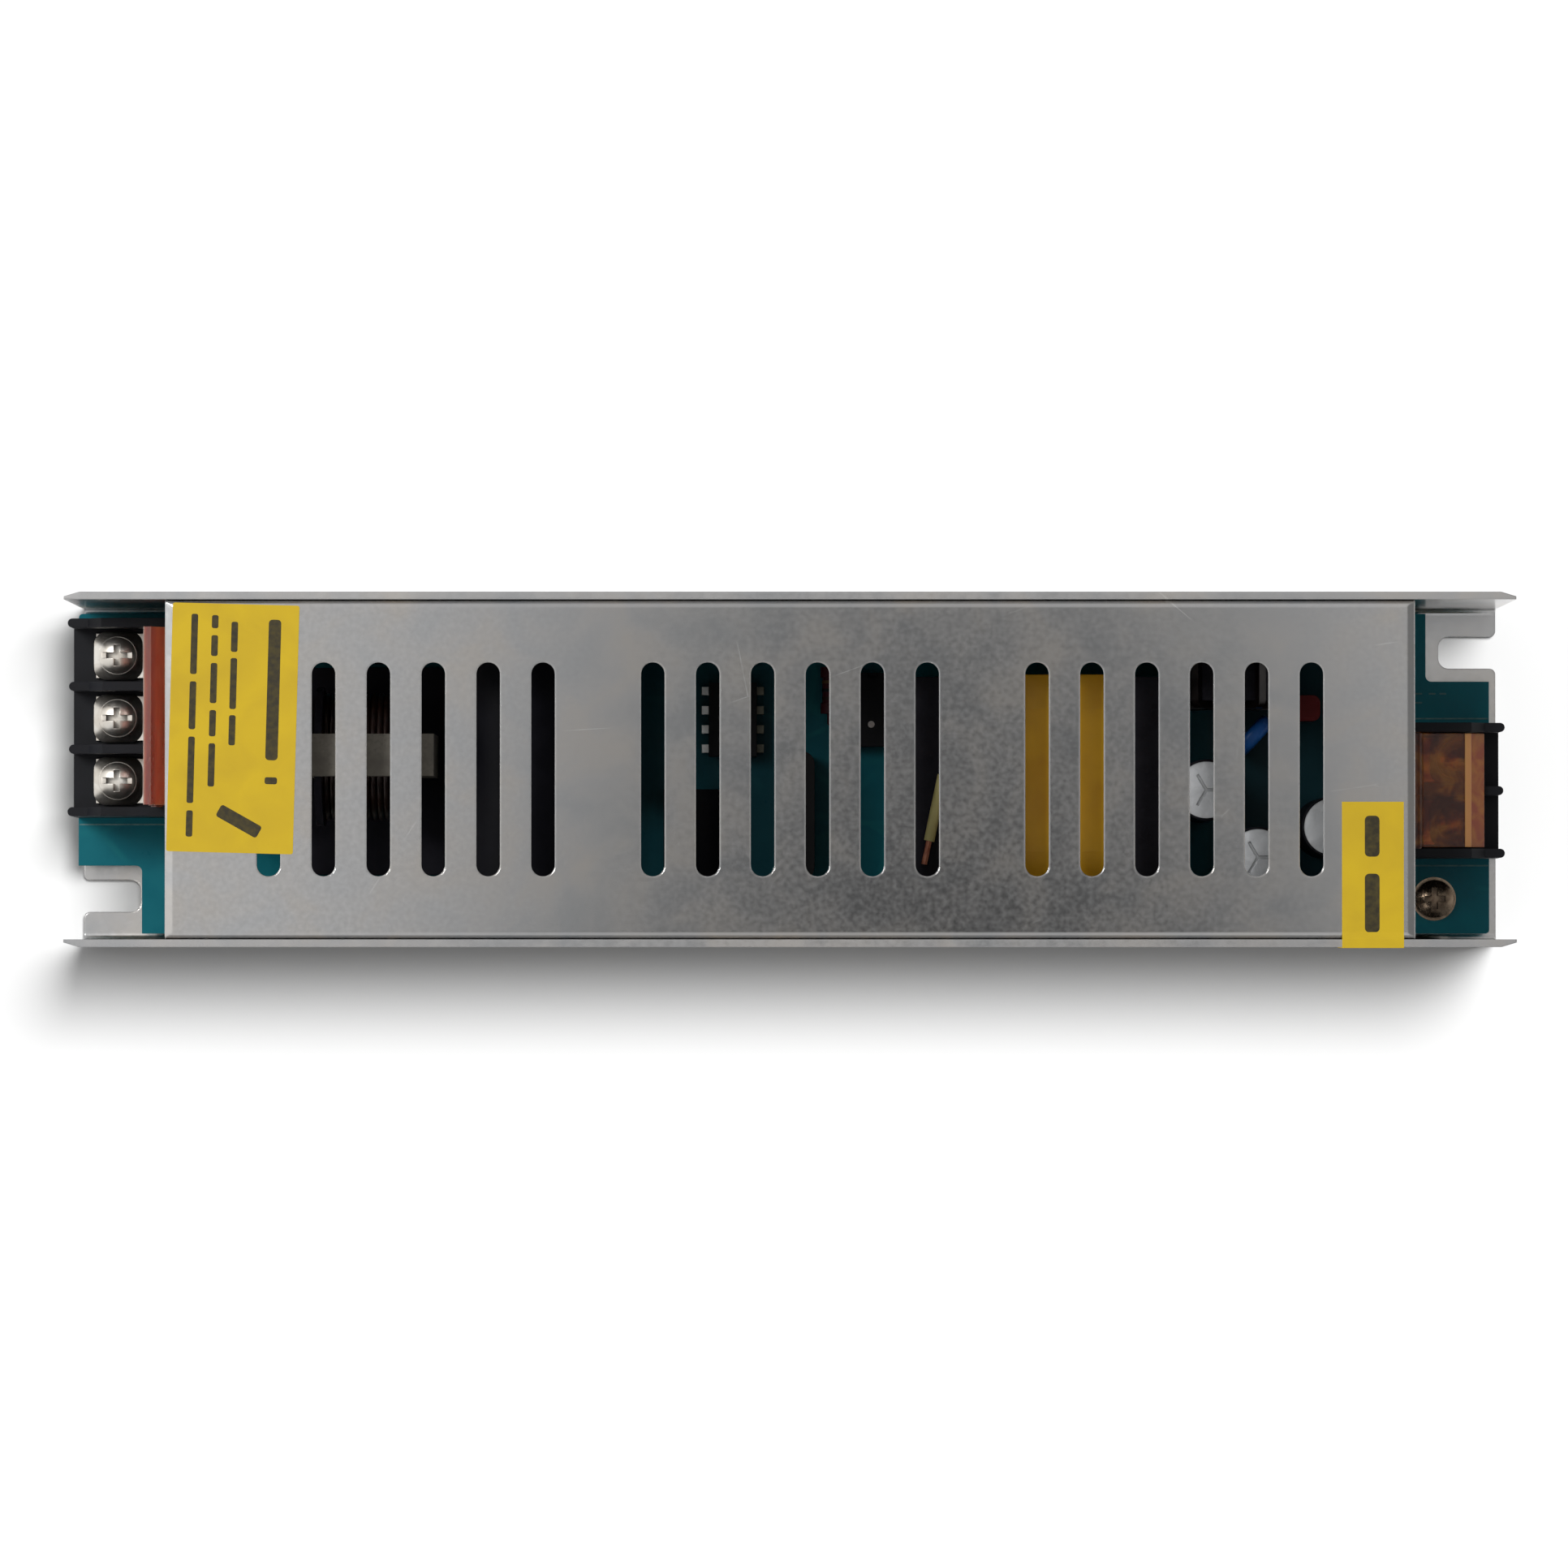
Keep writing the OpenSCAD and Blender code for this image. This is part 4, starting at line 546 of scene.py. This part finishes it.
DRESS = {
    CHANNEL: ["base_channel"],
    COVER: ["vented_cover"],
    STEEL: ["cover_screws", "package_screws", "package_nuts", "board_standoffs"],
    SOLDER: ["board_screws"],
    YELLOW: ["large_label", "seal_label"],
    MASK: ["circuit_board"],
    INSULATION: ["insulation_sheet"],
    BLOCK: ["input_terminal_body", "output_terminal_body"],
    RUBY: ["input_lid"],
    AMBER: ["output_lid"],
    NICKEL: ["input_contacts", "output_contacts", "fuse_caps",
             *(f"input_{part}_{k}" for part in ("clamp", "screw") for k in (1, 2, 3)),
             *(f"output_{part}_{k}" for part in ("clamp", "screw") for k in (1, 2))],
    TIN: ["component_leads"],
    CERAMIC: ["fuse_tube"],
    LINE_CAP: ["line_capacitor"],
    GREEN_DIP: ["inrush_limiter"],
    DIP: ["film_capacitor"],
    FERRITE: ["transformer_core", "output_choke_core"],
    CHOKE_CORE: ["choke_core"],
    BOBBIN: ["choke_bobbin", "transformer_bobbin"],
    COPPER: ["choke_windings"],
    DARK_COPPER: ["output_choke_winding"],
    BARE_COPPER: ["lead_wire"],
    WINDING: ["transformer_winding"],
    EPOXY: ["bridge_rectifier", "controller_ic", "optocoupler", "power_transistor", "output_rectifiers"],
    CAN: ["bulk_capacitor", "control_capacitor", "output_capacitors"],
    SLEEVE: ["bulk_sleeve", "control_sleeve", "output_sleeves"],
    BODY_BROWN: ["resistors"],
    PAD: ["package_pads"],
    TAPE: ["transformer_tape"],
    OLIVE: ["lead_sleeve"],
    BLUE_DIP: ["safety_capacitor"],
    RED_DIP: ["snubber_capacitor"],
}
for dress, names in DRESS.items():
    for name in names:
        for material_slot in frame["nodes"][name].material_slots:
            material_slot.material = dress.material


# Objects


def add_object(name, data):
    """Adds an object to the scene."""
    made = bpy.data.objects.new(name, data)
    bpy.context.scene.collection.objects.link(made)
    return made


def add_mesh(name, bm, look):
    """Adds an object with a drawn mesh and a look."""
    mesh = bpy.data.meshes.new(name)
    bm.to_mesh(mesh)
    bm.free()
    mesh.materials.append(look.material)
    return add_object(name, mesh)


def add_aimed(name, data, place, target):
    """Adds a light or a camera at a place, aimed at a target."""
    made = add_object(name, data)
    made.location = place
    made.rotation_euler = (target - place).to_track_quat("-Z", "Y").to_euler()
    return made


def piece(name, bm, look, body="supply"):
    """Turns a mesh drawn in millimetres into a piece that rides on a body."""
    bmesh.ops.scale(bm, vec=(MM, MM, MM), verts=bm.verts)
    bmesh.ops.recalc_face_normals(bm, faces=bm.faces)
    made = add_mesh(name, bm, look)
    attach(made, body)


# Printed marks and small details


def turned(degrees, axis):
    """Matrix of a turn about an axis."""
    return Matrix.Rotation(math.radians(degrees), 4, axis)


def rounded_outline(width, height, radius):
    """Corner points of a rectangle with round corners, centred."""
    points = []
    for quarter, (sx, sy) in enumerate(((1, 1), (-1, 1), (-1, -1), (1, -1))):
        for k in range(CORNER_STEPS + 1):
            angle = math.radians(90 * (quarter + k / CORNER_STEPS))
            points.append((sx * (width / 2 - radius) + radius * math.cos(angle),
                           sy * (height / 2 - radius) + radius * math.sin(angle)))
    return points


def add_plate(bm, outline, thickness, matrix):
    """Adds a thin plate with an outline in its own plane, lying on that plane."""
    lower = [bm.verts.new(matrix @ Vector((x, y, 0.0))) for x, y in outline]
    upper = [bm.verts.new(matrix @ Vector((x, y, thickness))) for x, y in outline]
    bm.faces.new(lower[::-1])
    bm.faces.new(upper)
    for k in range(len(outline)):
        after = (k + 1) % len(outline)
        bm.faces.new((lower[k], lower[after], upper[after], upper[k]))


def add_ring(bm, inner, outer, thickness, matrix, steps):
    """Adds a flat ring that lies on its own plane."""
    angles = [2 * math.pi * k / steps for k in range(steps)]
    loops = []
    for radius, z in ((inner, 0.0), (outer, 0.0), (outer, thickness), (inner, thickness)):
        points = [Vector((radius * math.cos(angle), radius * math.sin(angle), z)) for angle in angles]
        loops.append([bm.verts.new(matrix @ point) for point in points])
    for first, second in zip(loops, loops[1:] + loops[:1]):
        for k in range(steps):
            after = (k + 1) % steps
            bm.faces.new((first[k], first[after], second[after], second[k]))


def add_dashes(bm, row, matrix):
    """Adds a row of dashes that runs down from its start."""
    across, width, place, lengths, gap = row
    for length in lengths:
        outline = rounded_outline(width, length, min(width, length) * DASH_ROUND)
        add_plate(bm, outline, PRINT_T, matrix @ Matrix.Translation((across, place - length / 2, 0.0)))
        place -= length + gap


def label_print():
    """Rows of plain dashes on the large label, and a slanted plain bar below them."""
    bm = bmesh.new()
    face = Matrix.Translation((LABEL_MIDDLE.x, LABEL_MIDDLE.y, LABEL_TOP)) @ turned(LABEL_TURN, "Z")
    for row in LABEL_ROWS:
        add_dashes(bm, row, face)
    slant = Matrix.Translation(LABEL_BAR_AT) @ turned(LABEL_BAR_TURN, "Z")
    add_plate(bm, rounded_outline(LABEL_BAR_L, LABEL_BAR_W, LABEL_BAR_R), PRINT_T, face @ slant)
    piece("label_print", bm, PRINT)


def seal_print():
    """Plain dashes along the seal label and over its fold."""
    bm = bmesh.new()
    add_dashes(bm, SEAL_TOP_ROW, Matrix.Translation((SEAL_X, 0.0, LABEL_TOP)))
    side = Matrix.Translation((SEAL_X, SEAL_SIDE_Y, WALL_TOP)) @ turned(90, "X")
    add_dashes(bm, SEAL_SIDE_ROW, side)
    piece("seal_print", bm, PRINT)


def add_line(bm, start, end, width):
    """Adds a straight printed line between two points on the board."""
    along = Vector(end) - Vector(start)
    middle = (Vector(start) + Vector(end)) / 2
    turn = math.degrees(math.atan2(along.y, along.x))
    matrix = Matrix.Translation((middle.x, middle.y, BOARD_TOP)) @ turned(turn, "Z")
    add_plate(bm, rounded_outline(along.length + width, width, width * SILK_ROUND), SILK_T, matrix)


def add_block_outline(bm, node, front, inward):
    """Adds lines beside and behind a terminal block, where they are clear of the board's sides."""
    block_low, block_high = box_mm(node)
    inner_end = block_high.x if inward > 0 else block_low.x
    back = inner_end + inward * SILK_MARGIN
    low, high = block_low.y - SILK_MARGIN, block_high.y + SILK_MARGIN
    corners = ((front, low), (back, low), (back, high), (front, high))
    for start, end in zip(corners, corners[1:]):
        if max(abs(start[1]), abs(end[1])) < BOARD_HIGH.y - 2 * SILK_LINE:
            add_line(bm, start, end, SILK_LINE)


def board_print():
    """Outlines of the terminal blocks and small plain marks on the board."""
    bm = bmesh.new()
    add_block_outline(bm, "input_terminal_body", BOARD_LOW.x + SILK_LINE, 1)
    add_block_outline(bm, "output_terminal_body", BOARD_HIGH.x - SILK_LINE, -1)
    for from_end, y in MARKS:
        x = BOARD_HIGH.x - from_end
        add_line(bm, (x - MARK_L / 2, y), (x + MARK_L / 2, y), MARK_W)
    piece("board_print", bm, SILK)


def solder_rings():
    """Tinned rings on the board round its screws."""
    bm = bmesh.new()
    for screw in BOARD_SCREWS:
        place = Matrix.Translation((screw.x, screw.y, BOARD_TOP))
        add_ring(bm, RING_INNER_R, RING_OUTER_R, RING_T, place, RING_STEPS)
    piece("solder_rings", bm, SOLDER)


def index_dot():
    """Light dot beside the first lead of the optocoupler."""
    bm = bmesh.new()
    x = OPTOCOUPLER_LOW.x + DOT_FROM_CORNER[0]
    y = OPTOCOUPLER_LOW.y + DOT_FROM_CORNER[1]
    place = Matrix.Translation((x, y, OPTOCOUPLER_HIGH.z))
    add_plate(bm, rounded_outline(DOT_D, DOT_D, DOT_D / 2), PRINT_T, place)
    piece("index_dot", bm, DOT)


def resistor_bands():
    """Colour bands round the bodies of the resistors."""
    for k, look in enumerate(BANDS):
        bm = bmesh.new()
        for middle in RESISTORS:
            y = middle.y + BAND_PITCH * (k - 1) - BAND_W / 2
            place = Matrix.Translation((middle.x, y, BOARD_TOP + BAND_AXIS_H)) @ turned(-90, "X")
            add_ring(bm, BAND_INNER_R, BAND_OUTER_R, BAND_W, place, BAND_STEPS)
        piece(f"resistor_bands_{k + 1}", bm, look)


label_print()
seal_print()
board_print()
solder_rings()
index_dot()
resistor_bands()


# Floor, light and camera


def floor():
    """Plain pale floor that goes white away from the shadow."""
    bm = bmesh.new()
    bmesh.ops.create_grid(bm, x_segments=FLOOR_STEPS, y_segments=FLOOR_STEPS, size=FLOOR_HALF_W)
    look = Look("pale_floor", roughness=0.9, specular_ior_level=0.0)
    clouds = look.noise(FLOOR_CLOUD, 2)
    look.set(base_color=look.shade(clouds, (0.3, FLOOR_TONE), (0.7, FLOOR_TONE + FLOOR_VARIES)))
    made = add_mesh("floor", bm, look)
    return made


def world():
    """Studio dome, bright on the left and dim on the right, with a dark patch almost overhead."""
    made = bpy.data.worlds.new("studio")
    made.use_nodes = True
    bpy.context.scene.world = made
    sky = Nodes(made.node_tree)
    direction = sky.coordinates("Generated")
    dome = sky.shade(sky.span(sky.part(direction, "X"), 0.0, 1.0, -1.0, 1.0), *DOME)
    factors = [1 / size for size in PATCH_SIZE]
    shift = [-at / size for at, size in zip(PATCH_AT, PATCH_SIZE)]
    inputs = {"Vector": direction, "Scale": (*factors, 0.0), "Location": (*shift, 0.0)}
    round_patch = sky.node("ShaderNodeMapping", inputs).outputs["Vector"]
    patch = sky.node("ShaderNodeTexGradient", {"Vector": round_patch}, gradient_type="SPHERICAL")
    shade = sky.shade(patch.outputs["Fac"], *PATCH_FADE)
    sky.feed(sky.tree.nodes["Background"].inputs["Color"], sky.mix(shade, dome, grey(0.0)))


def add_light(name, light, place, stage, lights_stage):
    """Adds a light aimed at the case, and lets it light the stage alone or all but the stage."""
    made = add_aimed(name, light, place, LIGHT_AIM)
    lit = bpy.data.collections.new(name + "_lights")
    lit.objects.link(stage)
    lit.collection_objects[0].light_linking.link_state = "INCLUDE" if lights_stage else "EXCLUDE"
    made.light_linking.receiver_collection = lit


def lights(stage):
    """Soft square lamp for the case, and a wide sun that gives the floor its white and its shadow."""
    lamp = bpy.data.lights.new("case_lamp", "AREA")
    lamp.size = CASE_LAMP_SIZE
    lamp.energy = CASE_LAMP_POWER
    add_light("case_lamp", lamp, CASE_LAMP_AT, stage, False)
    sun = bpy.data.lights.new("floor_sun", "SUN")
    sun.angle = math.radians(FLOOR_SUN_ANGLE)
    sun.energy = FLOOR_SUN_STRENGTH
    add_light("floor_sun", sun, FLOOR_SUN_FROM, stage, True)


def camera():
    """Long lens with the view of the photograph."""
    lens = bpy.data.cameras.new("camera")
    lens.sensor_fit = "HORIZONTAL"
    lens.angle = math.radians(CAMERA_FOV)
    bpy.context.scene.camera = add_aimed("camera", lens, CAMERA_AT, CAMERA_AIM)


world()
lights(floor())
camera()
bpy.context.scene.view_settings.view_transform = "Standard"
